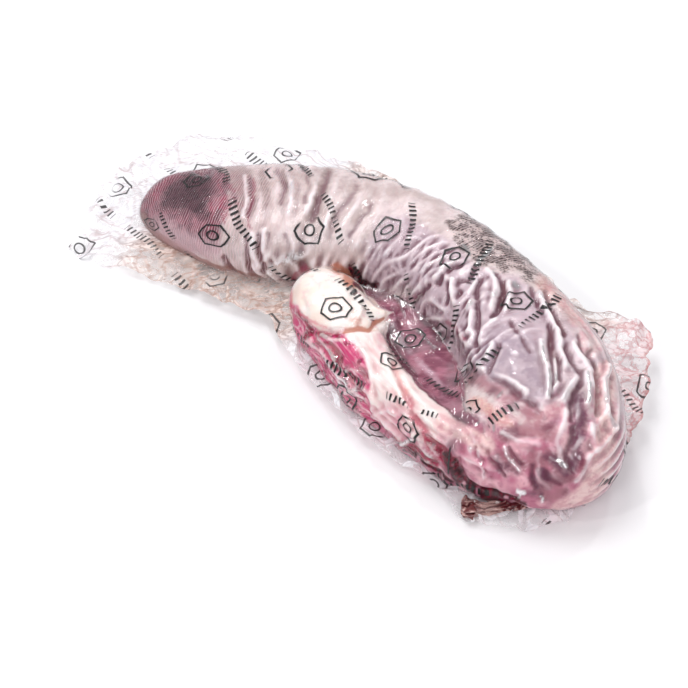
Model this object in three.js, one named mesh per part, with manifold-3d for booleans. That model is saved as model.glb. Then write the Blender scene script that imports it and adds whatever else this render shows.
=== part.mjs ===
// A raw beef tongue, shrunk tight in a clear vacuum pouch and lying on a table.
//
// The tongue lies on its back, curled like a hook: its tip at the far left, its body bending round to the right,
// and its thick root at the near right. From the root the trimmings, a strip of muscle that ends in a knob of fat,
// run back beside the body. A lower floor of muscle fills the valley between the two. Where the two films of the
// pouch meet beyond the meat they are welded into a thin crumpled margin, widest past the tip and at the root.
//
// Millimetres, +Z up, +X to the right along the pack's long side, +Y away from the viewer. The origin is on the
// table, under the middle of the pack's bounding box. The pouch and what it grips are one solid.

import * as THREE from "three";
import { mergeVertices } from "three/addons/utils/BufferGeometryUtils.js";
import Module from "manifold-3d";

const wasm = await Module();
wasm.setup();

// ---- Driving dimensions ------------------------------------------------------------------------------------

// Stations along each strand of meat: the plan position x, y of its middle, its half width, its half height,
// and how far its lowest line would lie above the table. Meat that would lie below the table is pressed flat.
const TONGUE_STATIONS = [
  [-137, 142, 17, 10, 2],
  [-117, 139, 28, 15, 1],
  [-92, 130, 37, 21, -1],
  [-62, 117, 43, 27, -2],
  [-30, 107, 43, 31, -3],
  [3, 100, 41, 32, -3],
  [36, 86, 38, 32, -3],
  [66, 60, 37, 33, -3],
  [91, 26, 38, 34, -3],
  [110, -13, 42, 35, -3],
  [120, -53, 47, 35, -3],
  [116, -92, 50, 34, -3],
  [102, -127, 42, 29, -3],
];
const TRIM_STATIONS = [
  [-19, 55, 27, 26, -2],
  [-2, 20, 27, 25, -2],
  [19, -18, 24, 23, -2],
  [43, -50, 23, 23, -2],
  [67, -75, 24, 24, -2],
  [90, -96, 26, 25, -2],
  [116, -106, 30, 27, -2],
];
const VALLEY_STATIONS = [
  [-2, 64, 18, 10, -2],
  [25, 40, 25, 14, -2],
  [50, 4, 29, 17, -2],
  [70, -34, 30, 21, -2],
  [86, -68, 33, 27, -2],
  [98, -98, 36, 29, -2],
];

// How full each strand's section is: 2 is an ellipse, and more is squarer.
const TONGUE_FULLNESS = 2.6;
const TRIM_FULLNESS = 2.7;
const VALLEY_FULLNESS = 2.3;

// The share of each strand's length that its rounded ends take up, first the free end and then the root.
const TONGUE_CAPS = [0.07, 0.1];
const TRIM_CAPS = [0.13, 0.11];
const VALLEY_CAPS = [0.1, 0.1];

// The skin of the tongue is drawn into gathers by the vacuum: cross folds, deepest over its middle.
const GATHER_PITCH = 15;
const GATHER_DEPTH = 2.2;

// The trimmings are lumpy all over: the size of one lump along the strand, and its height.
const LUMP_PITCH = 34;
const LUMP_HEIGHT = 1.5;

// The margin's outer edge, anticlockwise from its near left corner: x, y and height above the table.
const MARGIN_EDGE = [
  [-178, 108, 4],
  [-140, 88, 5],
  [-106, 73, 7],
  [-72, 53, 9],
  [-49, 42, 10],
  [-42, 24, 10],
  [-28, -4, 9],
  [-3, -42, 8],
  [27, -77, 8],
  [54, -99, 7],
  [68, -120, 3],
  [96, -131, 4],
  [124, -133, 7],
  [153, -108, 12],
  [178, -64, 15],
  [190, -16, 18],
  [190, 20, 21],
  [152, 32, 26],
  [122, 67, 30],
  [91, 101, 31],
  [58, 130, 31],
  [25, 156, 30],
  [-8, 178, 27],
  [-45, 194, 24],
  [-84, 208, 20],
  [-122, 202, 16],
  [-152, 182, 12],
  [-172, 146, 7],
];
const MARGIN_THICKNESS = 2;
const MARGIN_CRUMPLE = 2.6;
const MARGIN_COLUMNS = 130;

// The point inside the meat that the sheet of film spreads from, and the rings of points on it, as shares of the
// way out to the edge.
const FILM_HUB = [40, 60, 30];
const FILM_RINGS = [0, 0.45, 0.6, 0.72, 0.82, 0.9, 0.96, 1];

// Moves the origin from the drawing's to under the middle of the pack's bounding box.
const CENTRE_SHIFT = [-6.63, -36.84];

// Edges shorter than this, which joining leaves where two skins cross, are closed up.
const SLIVER = 0.05;

// ---- Strands of meat ---------------------------------------------------------------------------------------

const FULL_TURN = 2 * Math.PI;

function curveThrough(points) {
  return new THREE.CatmullRomCurve3(points, false, "catmullrom", 0.5);
}

// How much of its full size a strand has at t, from 0 at its free end to 1 at its root: quarter ellipses at
// both ends close it.
function endRounding(t, [freeCap, rootCap]) {
  const fromEnd = Math.min(t / freeCap, (1 - t) / rootCap, 1);
  return Math.sqrt(1 - (1 - fromEnd) ** 2);
}

// A power of a cosine or sine that keeps its sign, which turns a circle into a superellipse.
function squared(value, fullness) {
  return Math.sign(value) * Math.abs(value) ** (2 / fullness);
}

// A strand is a sphere whose points are moved: its poles go to the strand's ends, and its circles of latitude
// become upright sections square to the strand's course. relief(t, angle, length) is added all round.
function strand(stations, fullness, caps, rows, columns, relief = () => 0) {
  const course = curveThrough(stations.map(([x, y]) => new THREE.Vector3(x, y, 0)));
  const size = curveThrough(stations.map(([, , width, height, gap]) => new THREE.Vector3(width, height, gap)));
  const length = course.getLength();
  const sphere = new THREE.SphereGeometry(1, columns, rows);
  const place = sphere.getAttribute("position");
  const uv = sphere.getAttribute("uv");
  for (let i = 0; i < place.count; i++) {
    const row = 1 - uv.getY(i);
    const t = Math.min(1, Math.max(0, row - (0.5 * Math.sin(FULL_TURN * row)) / FULL_TURN));
    const angle = FULL_TURN * uv.getX(i);
    const middle = course.getPoint(t);
    const ahead = course.getTangent(t);
    const { x: halfWidth, y: halfHeight, z: gap } = size.getPoint(t);
    const rounding = endRounding(t, caps);
    const swell = relief(t, angle, length) * rounding;
    const across = (halfWidth * rounding + swell) * squared(Math.cos(angle), fullness);
    const rise = (halfHeight * rounding + swell) * squared(Math.sin(angle), fullness);
    place.setXYZ(i, middle.x + ahead.y * across, middle.y - ahead.x * across, gap + halfHeight + rise);
  }
  return sphere;
}

// Cross folds: rounded ridges a pitch apart, whose line wanders as it goes round the tongue.
function gathers(t, angle, length) {
  const wander = 0.55 * Math.sin(2 * angle + 1.3) + 0.35 * Math.sin(3 * angle - 9 * t);
  const phase = (t * length) / GATHER_PITCH + wander;
  const ridge = 1 - Math.abs(Math.sin(Math.PI * phase));
  const overMiddle = Math.exp(-(((t - 0.52) / 0.24) ** 2));
  return GATHER_DEPTH * overMiddle * (ridge - 0.4);
}

// Lumps in two sizes, turned against each other as they go round the strand.
function lumps(t, angle, length) {
  const phase = (FULL_TURN * t * length) / LUMP_PITCH;
  return LUMP_HEIGHT * (0.6 * Math.sin(phase + 2 * Math.sin(angle)) + 0.4 * Math.sin(1.7 * phase - 3 * angle));
}

// ---- Margin of welded film ---------------------------------------------------------------------------------

// A sheet of film: a lathe-turned disc whose rim is moved out to the margin's edge and whose middle stays inside
// the meat. The edge can be seen from FILM_HUB all round, so no part of the sheet folds over another.
function marginSheet(columns, rings) {
  const edge = new THREE.CatmullRomCurve3(
    MARGIN_EDGE.map(([x, y, z]) => new THREE.Vector3(x, y, z)),
    true,
    "catmullrom",
    0.5,
  );
  const hub = new THREE.Vector3(...FILM_HUB);
  const half = MARGIN_THICKNESS / 2;
  const underside = rings.map((reach) => new THREE.Vector2(reach, -half));
  const topside = rings.map((reach) => new THREE.Vector2(reach, half)).reverse();
  const sheet = new THREE.LatheGeometry([...underside, ...topside], columns);
  const place = sheet.getAttribute("position");
  const uv = sheet.getAttribute("uv");
  for (let i = 0; i < place.count; i++) {
    const round = uv.getX(i) % 1;
    const reach = Math.hypot(place.getX(i), place.getZ(i));
    const point = hub.clone().lerp(edge.getPoint(round), reach);
    const crumple = MARGIN_CRUMPLE * reach ** 6 * crumpleAt(round, reach);
    place.setXYZ(i, point.x, point.y, Math.max(point.z + crumple, MARGIN_THICKNESS) + place.getY(i));
  }
  return sheet;
}

// Waves that run out to the edge, as film gathers where it is drawn in.
function crumpleAt(round, reach) {
  return Math.sin(FULL_TURN * 17 * round + 2 * reach) + 0.6 * Math.sin(FULL_TURN * 29 * round - 3 * reach);
}

// ---- Solids ------------------------------------------------------------------------------------------------

// A closed geometry as a solid that can be joined and cut.
function solid(geometry) {
  const bare = new THREE.BufferGeometry();
  bare.setAttribute("position", geometry.getAttribute("position").clone());
  bare.setIndex(geometry.index);
  const merged = mergeVertices(bare, 1e-3);
  return new wasm.Manifold(
    new wasm.Mesh({
      numProp: 3,
      vertProperties: new Float32Array(merged.getAttribute("position").array),
      triVerts: new Uint32Array(merged.index.array),
    }),
  );
}

function geometryOf(manifold) {
  const mesh = manifold.getMesh();
  const geometry = new THREE.BufferGeometry();
  geometry.setAttribute("position", new THREE.BufferAttribute(mesh.vertProperties, 3));
  geometry.setIndex(new THREE.BufferAttribute(mesh.triVerts, 1));
  geometry.computeVertexNormals();
  return geometry;
}

// Everything below the table, which presses the pack flat where it lies.
function belowTable() {
  const width = 1000;
  const depth = 100;
  return solid(new THREE.BoxGeometry(width, width, depth).translate(0, 0, -depth / 2));
}

function pouch() {
  const tongue = strand(TONGUE_STATIONS, TONGUE_FULLNESS, TONGUE_CAPS, 88, 26, gathers);
  const trimmings = strand(TRIM_STATIONS, TRIM_FULLNESS, TRIM_CAPS, 42, 22, lumps);
  const valley = strand(VALLEY_STATIONS, VALLEY_FULLNESS, VALLEY_CAPS, 24, 14);
  const joined = [trimmings, valley, marginSheet(MARGIN_COLUMNS, FILM_RINGS)].reduce(
    (whole, next) => whole.add(solid(next)),
    solid(tongue),
  );
  const pressedFlat = joined.subtract(belowTable()).simplify(SLIVER);
  return geometryOf(pressedFlat).translate(...CENTRE_SHIFT, 0);
}

// ---- The pack ----------------------------------------------------------------------------------------------

const filmOverMeat = new THREE.MeshStandardMaterial({
  name: "film_over_meat",
  color: 0xcdb0b2,
  roughness: 0.25,
  metalness: 0,
});

const packedTongue = new THREE.Mesh(pouch(), filmOverMeat);
packedTongue.name = "packed_tongue";

const pack = new THREE.Group();
pack.add(packedTongue);

export default pack;
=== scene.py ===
# %% [markdown]
# # A raw beef tongue in a clear vacuum pouch
#
# The pack lies on a pale table. Its meat is a whole tongue, curled like a hook, with its trimmings beside
# it. The pouch is a clear film that the vacuum has drawn on to the meat, and beyond the meat its two sheets
# are welded into a crumpled margin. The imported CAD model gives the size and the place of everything: one
# solid, which the pieces made here replace.

import bmesh
import bpy
import numpy as np
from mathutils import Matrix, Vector


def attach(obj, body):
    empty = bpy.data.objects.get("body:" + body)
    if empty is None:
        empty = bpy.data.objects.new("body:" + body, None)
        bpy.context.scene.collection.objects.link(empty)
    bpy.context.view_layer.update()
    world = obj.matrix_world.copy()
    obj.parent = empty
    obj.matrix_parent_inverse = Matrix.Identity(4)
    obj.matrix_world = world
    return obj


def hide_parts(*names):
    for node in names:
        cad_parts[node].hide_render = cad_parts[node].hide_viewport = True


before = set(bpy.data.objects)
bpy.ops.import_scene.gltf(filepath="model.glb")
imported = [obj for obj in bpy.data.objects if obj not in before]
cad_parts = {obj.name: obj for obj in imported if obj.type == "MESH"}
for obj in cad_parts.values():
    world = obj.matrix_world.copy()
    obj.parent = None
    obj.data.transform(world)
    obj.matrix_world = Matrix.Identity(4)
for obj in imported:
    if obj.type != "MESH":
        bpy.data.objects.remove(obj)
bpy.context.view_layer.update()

# %% [markdown]
# ## Units and the drawing frame
#
# Lengths are thought of in millimetres and in the frame that the pack was drawn in. `placed` takes such
# points to the frame of the CAD model: it moves them so that the origin is under the middle of the pack,
# and turns them into metres.

# %% Units
MM = 0.001
CENTRE_SHIFT = np.array([-6.63, -36.84, 0.0])


def placed(points):
    """Drawing millimetres to the model's metres."""
    return (np.asarray(points, float) + CENTRE_SHIFT) * MM


# %% [markdown]
# ## Camera
#
# The photograph looks down on the pack at about 45 degrees. Its scale is 0.625 mm to a pixel at the pack,
# and a distance of 1.5 m gives the mild perspective of a product shot.

# %% Camera
LOOKED_AT = np.array([0.0, 0.0, 25.0])  # in drawing millimetres
CAMERA_DISTANCE = 1.5
CAMERA_ELEVATION = np.radians(45)
TOWARDS_CAMERA = np.array([0, -np.cos(CAMERA_ELEVATION), np.sin(CAMERA_ELEVATION)])
PICTURE_UP = np.array([0, np.sin(CAMERA_ELEVATION), np.cos(CAMERA_ELEVATION)])
MM_PER_PIXEL = 0.625
PHOTO_PIXELS = 688
SENSOR_MM = 36


def add_camera():
    data = bpy.data.cameras.new("camera")
    data.sensor_width = SENSOR_MM
    data.lens = SENSOR_MM * CAMERA_DISTANCE / (PHOTO_PIXELS * MM_PER_PIXEL * MM)
    camera = bpy.data.objects.new("camera", data)
    camera.location = placed(LOOKED_AT) + CAMERA_DISTANCE * TOWARDS_CAMERA
    camera.rotation_euler = (np.pi / 2 - CAMERA_ELEVATION, 0, 0)
    bpy.context.scene.collection.objects.link(camera)
    bpy.context.scene.camera = camera
    return camera


camera = add_camera()
print("camera lens", round(camera.data.lens, 1), "mm")

# %% [markdown]
# ## Where a point is seen in the photograph
#
# Folds and stains were read off the photograph, so they are given in its pixels. `seen_at` says which pixel
# the camera sees each point of the meat at. What the camera can't see gets no such detail of its own: there
# the folds and colours come from the place along and round the strands.

# %% Pixels of the photograph
def seen_at(points):
    """Drawing millimetres to pixels: f x / d and f v / d from the picture's middle, where d is the depth."""
    offset = np.asarray(points, float) - LOOKED_AT
    scale = 1 / (MM_PER_PIXEL * (1 - offset @ TOWARDS_CAMERA * MM / CAMERA_DISTANCE))
    middle = PHOTO_PIXELS / 2
    return np.stack([middle + offset[..., 0] * scale, middle - offset @ PICTURE_UP * scale], axis=-1)


print("the origin is seen at", seen_at([0, 0, 0]).round(1))

# %% [markdown]
# ## Courses
#
# Each strand of meat follows a smooth course through a few stations: the plan position, the half width, the
# half height and how far the lowest line lies above the table. A Catmull-Rom curve passes through every
# station, and it is worked out for a whole array of places at once.

# %% Stations of the three strands
TONGUE_STATIONS = np.array([
    [-137, 142, 17, 10, 2], [-117, 139, 28, 15, 1], [-92, 130, 37, 21, -1], [-62, 117, 43, 27, -2],
    [-30, 107, 43, 31, -3], [3, 100, 41, 32, -3], [36, 86, 38, 32, -3], [66, 60, 37, 33, -3],
    [91, 26, 38, 34, -3], [110, -13, 42, 35, -3], [120, -53, 47, 35, -3], [116, -92, 50, 34, -3],
    [102, -127, 42, 29, -3],
], float)
TRIM_STATIONS = np.array([
    [-21, 54, 24, 26, -2], [-4, 19, 24, 25, -2], [13, -21, 18.5, 23, -2], [37, -55, 15, 23, -2],
    [61, -81, 15.5, 24, -2], [88, -97, 18, 25, -2], [116, -102, 26, 27, -2],
], float)
VALLEY_STATIONS = np.array([
    [-2, 64, 18, 10, -2], [25, 40, 25, 14, -2], [49, 3, 31, 17, -2], [68, -36, 33, 20, -2],
    [84, -70, 36, 26, -2], [98, -98, 36, 29, -2],
], float)
TONGUE_FULLNESS, TRIM_FULLNESS, VALLEY_FULLNESS = 2.6, 2.7, 2.3
TONGUE_CAPS, TRIM_CAPS, VALLEY_CAPS = (0.07, 0.1), (0.13, 0.11), (0.1, 0.1)


def through(stations, t, closed=False):
    """Catmull-Rom: between stations b and c, with a before and d after, at share f of the way,
    half of 2b + (c - a) f + (2a - 5b + 4c - d) f^2 + (3b - a - 3c + d) f^3."""
    stations = np.asarray(stations, float)
    if closed:
        padded = np.vstack([stations[-1:], stations, stations[:2]])
        spans = len(stations)
    else:
        padded = np.vstack([2 * stations[:1] - stations[1:2], stations, 2 * stations[-1:] - stations[-2:-1]])
        spans = len(stations) - 1
    place = np.clip(np.asarray(t, float), 0, 1) * spans
    span = np.minimum(place.astype(int), spans - 1)
    f = (place - span)[..., None]
    a, b, c, d = (padded[span + k] for k in range(4))
    return 0.5 * (2 * b + (c - a) * f + (2 * a - 5 * b + 4 * c - d) * f**2 + (3 * b - a - 3 * c + d) * f**3)


def heading(stations, t):
    """The direction of the course in plan at t, from two places a little apart."""
    step = 1e-3
    before, after = (through(stations, np.clip(t + way, 0, 1))[..., :2] for way in (-step, step))
    return (after - before) / np.linalg.norm(after - before, axis=-1, keepdims=True)


def spread(rows, columns, start=0, end=1):
    """The two parameters of a grid: from start to end down the rows, and a share of a turn along each."""
    down = np.linspace(start, end, rows)[:, None] * np.ones((1, columns))
    round_ = np.linspace(0, 1, columns, endpoint=False)[None, :] * np.ones((rows, 1))
    return down, round_


def flat3(x, y):
    """Two lots of numbers as points in a plane, with zeros for their height."""
    return np.stack([x, y, np.zeros_like(x)], axis=-1)


# %% [markdown]
# ## Strands of meat
#
# A strand is a tube whose upright sections are superellipses and whose ends are closed by quarter ellipses.
# Its grid has two parameters: t along the course and an angle round it. The rows crowd together at the
# ends, where the form turns over.

# %% A strand as a grid of points
def end_rounding(t, caps):
    """sqrt(1 - (1 - e)^2), where e is how far t lies from the nearer end, as a share of that end's cap."""
    e = np.minimum(np.minimum(t / caps[0], (1 - t) / caps[1]), 1)
    return np.sqrt(np.clip(1 - (1 - e) ** 2, 0, 1))


def squared(value, fullness):
    """The power 2 / fullness of a cosine or sine, keeping its sign."""
    return np.sign(value) * np.abs(value) ** (2 / fullness)


def strand_grid(stations, fullness, caps, rows, columns):
    """Row t is row - sin(2 pi row) / 4 pi. The point lies half width * rounding * cos' to the right of the
    course, and half height * (1 + rounding * sin') above the lowest line. ' is the superellipse power."""
    row, share = spread(rows, columns)
    t = np.clip(row - 0.5 * np.sin(2 * np.pi * row) / (2 * np.pi), 0, 1)
    angle = 2 * np.pi * share
    station = through(stations, t)
    ahead = heading(stations, t)
    rounding = end_rounding(t, caps)
    across = station[..., 2] * rounding * squared(np.cos(angle), fullness)
    rise = station[..., 3] * rounding * squared(np.sin(angle), fullness)
    x = station[..., 0] + ahead[..., 1] * across
    y = station[..., 1] - ahead[..., 0] * across
    return np.stack([x, y, station[..., 4] + station[..., 3] + rise], axis=-1)


def tube_faces(rows, columns):
    """Four-sided faces of a grid that closes on itself round each row, facing out."""
    r, c = np.meshgrid(np.arange(rows - 1), np.arange(columns), indexing="ij")
    here, beside = r * columns + c, r * columns + (c + 1) % columns
    return np.stack([here, beside, beside + columns, here + columns], axis=-1).reshape(-1, 4)


STRANDS = {
    "tongue": (TONGUE_STATIONS, TONGUE_FULLNESS, TONGUE_CAPS, 160, 72),
    "trimmings": (TRIM_STATIONS, TRIM_FULLNESS, TRIM_CAPS, 90, 60),
    "valley": (VALLEY_STATIONS, VALLEY_FULLNESS, VALLEY_CAPS, 60, 40),
}
strand_grids = {name: strand_grid(*strand) for name, strand in STRANDS.items()}
print({name: grid.shape for name, grid in strand_grids.items()})

# %% [markdown]
# ## The knob of fat
#
# The free end of the trimmings is a rounded lump of hard cream-white fat, with a lower tongue of fat that
# runs from it towards the valley. Three overlapping ellipsoids give that form, and the join below rounds
# them off.

# %% Lumps of fat as ellipsoids
FAT_LUMPS = np.array([  # middle x, y, z and the three half axes
    [[-14, 37, 25], [21, 25, 21]],
    [[-6, 22, 28], [17, 17, 18]],
    [[15, 13, 27], [22, 12, 15]],
], float)


def ellipsoid_grid(middle, half, rows=24, columns=36):
    """middle + half * (sin p cos a, sin p sin a, cos p), with p from pole to pole and a all round."""
    p, share = spread(rows, columns, np.pi, 0)
    a = 2 * np.pi * share
    unit = np.stack([np.sin(p) * np.cos(a), np.sin(p) * np.sin(a), np.cos(p)], axis=-1)
    return middle + half * unit


lump_grids = [ellipsoid_grid(middle, half) for middle, half in FAT_LUMPS]
print("fat lumps", len(lump_grids))

# %% [markdown]
# ## Joining the strands into one skin
#
# Overlapping closed tubes become one skin with a voxel remesh, which keeps only what lies outside. Its even
# small squares are also what the wrinkles need later. The remesh leaves steps and sharp grooves, so the
# points are then relaxed: each moves part of the way to the mean of its neighbours, again and again.

# %% Mesh helpers
VOXEL = 1.33 * MM
COINCIDING = 0.01 * MM


def mesh_of(name, points, faces):
    mesh = bpy.data.meshes.new(name)
    mesh.from_pydata(points.reshape(-1, 3).tolist(), [], faces.tolist())
    mesh.update()
    return mesh


def add_piece(name, mesh):
    piece = bpy.data.objects.new(name, mesh)
    bpy.context.scene.collection.objects.link(piece)
    return piece


def joined_grids(grids):
    """All grids in one list of points and one list of faces."""
    points, faces, start = [], [], 0
    for grid in grids:
        points.append(grid.reshape(-1, 3))
        faces.append(tube_faces(*grid.shape[:2]) + start)
        start += points[-1].shape[0]
    return np.concatenate(points), np.concatenate(faces)


def welded(mesh):
    """Merges the points that coincide at the poles, which also removes the flat faces there."""
    work = bmesh.new()
    work.from_mesh(mesh)
    bmesh.ops.remove_doubles(work, verts=work.verts, dist=COINCIDING)
    bmesh.ops.recalc_face_normals(work, faces=work.faces)
    work.to_mesh(mesh)
    work.free()
    return mesh


def remeshed(name, mesh):
    """The outer skin of closed overlapping shapes, as even squares."""
    holder = add_piece(name, mesh)
    remesh = holder.modifiers.new("skin", "REMESH")
    remesh.mode = "VOXEL"
    remesh.voxel_size = VOXEL
    skin = bpy.data.meshes.new_from_object(holder.evaluated_get(bpy.context.evaluated_depsgraph_get()))
    bpy.data.objects.remove(holder)
    return skin


def read_out(items, name, columns, kind=np.float32):
    """One property of all of a mesh's points or edges, as rows."""
    flat = np.empty(len(items) * columns, kind)
    items.foreach_get(name, flat)
    return flat.reshape(-1, columns)


def normals_of(mesh):
    return read_out(mesh.vertex_normals, "vector", 3).astype(float)


def set_points(mesh, points):
    mesh.vertices.foreach_set("co", points.astype(np.float32).ravel())
    mesh.update()


# %% Join the meat
TABLE_GAP = 0.6  # mm, the film and a little air under the meat
SKIN_ROUNDS, LOCAL_ROUNDS, TAUT_ROUNDS = 14, 14, 260  # of relaxing: the steps, the folds and all hollows go

raw_points, raw_faces = joined_grids([*strand_grids.values(), *lump_grids])
skin_mesh = remeshed("meat_skin", welded(mesh_of("meat_tubes", placed(raw_points), raw_faces)))
skin_edges = read_out(skin_mesh.edges, "vertices", 2, np.int32)


def relaxed(values, rounds):
    """Each round moves every point's value half way to the mean of its neighbours'."""
    a, b = skin_edges.T
    count = len(values)
    neighbours = np.maximum(np.bincount(a, minlength=count) + np.bincount(b, minlength=count), 1)
    columns = values.reshape(count, -1).T.copy()
    for column in columns:
        for _ in range(rounds):
            total = np.bincount(a, column[b], count) + np.bincount(b, column[a], count)
            column += 0.5 * (total / neighbours - column)
    return columns.T.reshape(values.shape)


skin_points = relaxed(read_out(skin_mesh.vertices, "co", 3).astype(float), SKIN_ROUNDS) / MM - CENTRE_SHIFT
skin_points[:, 2] = np.maximum(skin_points[:, 2], TABLE_GAP)
set_points(skin_mesh, placed(skin_points))
print("meat skin", len(skin_mesh.vertices), "points", len(skin_mesh.polygons), "faces")

# %% [markdown]
# ## Where each point is on the meat
#
# Folds, colours and papillae follow the meat, so every point of the skin is measured against each course:
# how far along it lies, in millimetres, and its angle and its share of the half width and half height in
# that section.

# %% Coordinates along and round a strand
SAMPLES, BATCH = 300, 8192


def section_coordinates(points, stations, fullness, caps):
    """For each point the nearest sample of the course in plan, then the way along, t, the angle round the
    section and a radius that is 1 on the strand:
    sqrt((|across / half width|^n + |rise / half height|^n)^(2/n) + e^2),
    where e grows from 0 at the start of an end cap to 1 at the strand's end."""
    t = np.linspace(0, 1, SAMPLES)
    station = through(stations, t)
    ahead = heading(stations, t)
    way = np.concatenate([[0], np.cumsum(np.linalg.norm(np.diff(station[:, :2], axis=0), axis=1))])
    nearest = np.empty(len(points), int)
    for start in range(0, len(points), BATCH):
        part = points[start : start + BATCH, :2]
        gap = ((part[:, None] - station[None, :, :2]) ** 2).sum(-1)
        nearest[start : start + BATCH] = gap.argmin(1)
    offset = points[:, :2] - station[nearest, :2]
    along = (offset * ahead[nearest]).sum(1)
    right = np.stack([ahead[nearest, 1], -ahead[nearest, 0]], axis=-1)
    across = (offset * right).sum(1) / station[nearest, 2]
    rise = (points[:, 2] - station[nearest, 4] - station[nearest, 3]) / station[nearest, 3]
    t_out = t[nearest] + along / way[-1] * ((nearest == 0) | (nearest == SAMPLES - 1))
    e = np.maximum(np.maximum(1 - t_out / caps[0], 1 - (1 - t_out) / caps[1]), 0)
    radius = np.sqrt((np.abs(across) ** fullness + np.abs(rise) ** fullness) ** (2 / fullness) + e**2)
    return {
        "s": way[nearest] + along,
        "t": t[nearest],
        "angle": np.arctan2(rise, across),
        "radius": radius,
        "length": way[-1],
    }


on_tongue, on_trim, on_valley = (
    section_coordinates(skin_points, *strand[:3]) for strand in STRANDS.values())
print("tongue", round(on_tongue["length"]), "mm along, trimmings", round(on_trim["length"]), "mm")

# %% [markdown]
# ## Noise and marks
#
# These helpers shape and colour the meat. `noise` is smooth random relief, worked out on a lattice of
# seeded numbers. `smooth` is a soft step. `drawn` is a mark along lines and `inside` a mark that fills a
# polygon, both given in pixels of the photograph and wobbled a little, so that no edge is straight.

# %% Noise, soft step and marks
LATTICE, FAR_OFF = 48, 1000  # the lattice repeats after so many waves, and places are counted from far below


def noise(points, wave, seed):
    """Values from -1 to 1 on a lattice a wave apart, blended with 3 f^2 - 2 f^3 along each axis."""
    lattice = np.random.default_rng(seed).uniform(-1, 1, (LATTICE,) * 3)
    place = np.asarray(points, float) / wave + FAR_OFF
    cell = np.floor(place).astype(int)
    f = place - cell
    f = f * f * (3 - 2 * f)
    total = 0
    for corner in np.ndindex(2, 2, 2):
        weight = np.where(corner, f, 1 - f).prod(-1)
        x, y, z = np.moveaxis((cell + corner) % LATTICE, -1, 0)
        total = total + weight * lattice[x, y, z]
    return total


def noises(points, wave, seeds):
    """A column of noise for each seed."""
    return np.stack([noise(points, wave, seed) for seed in seeds], axis=-1)


def smooth(value, low, high):
    """0 below low, 1 above high, and 3 f^2 - 2 f^3 between."""
    f = np.clip((value - low) / (high - low), 0, 1)
    return f * f * (3 - 2 * f)


def line_distance(points, line):
    """How far each point lies from a line of points, in space or in the picture."""
    line = np.asarray(line, float)
    best = np.full(len(points), np.inf)
    for a, b in zip(line[:-1], line[1:]):
        f = np.clip(((points - a) @ (b - a)) / ((b - a) @ (b - a)), 0, 1)
        best = np.minimum(best, np.linalg.norm(points - a - f[:, None] * (b - a), axis=1))
    return best


wobble = noises(skin_points, 14, (1, 2, 3))
tremble = noises(skin_points, 5, (4, 5, 6))
wobbled = skin_points + 2.6 * wobble + 1.3 * tremble
sketch = seen_at(skin_points + 0.9 * wobble + 0.8 * tremble)
facing = smooth(normals_of(skin_mesh) @ TOWARDS_CAMERA, -0.05, 0.2)


def near(points, line, full, none):
    """1 within full of a line of points, falling to 0 at none."""
    return 1 - smooth(line_distance(points, line), full, none)


def drawn(*strokes, core=0.25):
    """The most of strength * (1 within core * radius of a line, falling to 0 at the radius), in pixels."""
    marks = [strength * near(sketch, line, core * radius, radius) for strength, radius, line in strokes]
    return facing * np.maximum.reduce(marks)


def inside(polygon, soft):
    """1 inside a polygon of pixels and 0 outside, told apart by counting edges crossed on the way left."""
    ring = np.array(polygon + polygon[:1], float)
    x, y = sketch.T
    odd = np.zeros(len(x), bool)
    for (x0, y0), (x1, y1) in zip(ring[:-1], ring[1:]):
        odd ^= ((y0 > y) != (y1 > y)) & (x < x0 + (y - y0) * (x1 - x0) / (y1 - y0 + 1e-9))
    return facing * smooth(np.where(odd, 1, -1) * line_distance(sketch, ring), -soft, soft)


print("noise from", round(float(wobble.min()), 2), "to", round(float(wobble.max()), 2))

# %% [markdown]
# ## Which strand a point belongs to
#
# The tongue, the trimmings, the fat and the floor of the valley differ in colour and in folds. A point
# belongs to the strand whose section radius is smallest there, with a soft change between them.

# %% Membership
def owns(mine, *others, soft=0.1):
    """1 where my radius is the smallest, 0 where another's is smaller by more than soft."""
    return smooth(np.minimum.reduce(others) - mine, -soft, soft)


FAT_BORDER = np.array([  # x, y in millimetres, from which the fat lies further back
    (-44, 44), (-34, 20), (-24, 3), (-10, -5), (4, -7), (16, -8), (25, 2), (32, 24), (38, 44)], float)
VALLEY_FLOOR = [
    (385, 300), (391, 318), (388, 335), (393, 350), (405, 370), (414, 382), (430, 397), (445, 408),
    (460, 420), (475, 432), (500, 434), (520, 400), (480, 330), (430, 290), (400, 285),
]

lump_radius = np.minimum.reduce([np.linalg.norm((skin_points - m) / h, axis=1) for m, h in FAT_LUMPS])
trim_part = owns(on_trim["radius"], on_tongue["radius"], on_valley["radius"])
valley_part = owns(on_valley["radius"], on_tongue["radius"], on_trim["radius"])
tongue_part = owns(on_tongue["radius"], on_trim["radius"], on_valley["radius"])
beyond_border = skin_points[:, 1] - np.interp(skin_points[:, 0], *FAT_BORDER.T) + 1.6 * tremble[:, 0]
fat_radius = np.minimum(lump_radius, on_trim["radius"])
fat_part = smooth(beyond_border, -1.5, 2.0) * (1 - smooth(fat_radius, 1.15, 1.3))
fat_part *= owns(fat_radius, on_tongue["radius"])
over_floor = inside(VALLEY_FLOOR, 1.5)
trim_part = trim_part * (1 - over_floor)
valley_part = np.maximum(valley_part, over_floor * (1 - tongue_part))
parts = (tongue_part, trim_part, valley_part)
tongue_part, trim_part, valley_part = (part * (1 - fat_part) for part in parts)
counts = [int(part.sum()) for part in (tongue_part, trim_part, fat_part)]
print("tongue", counts[0], "trimmings", counts[1], "fat", counts[2], "points")

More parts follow.
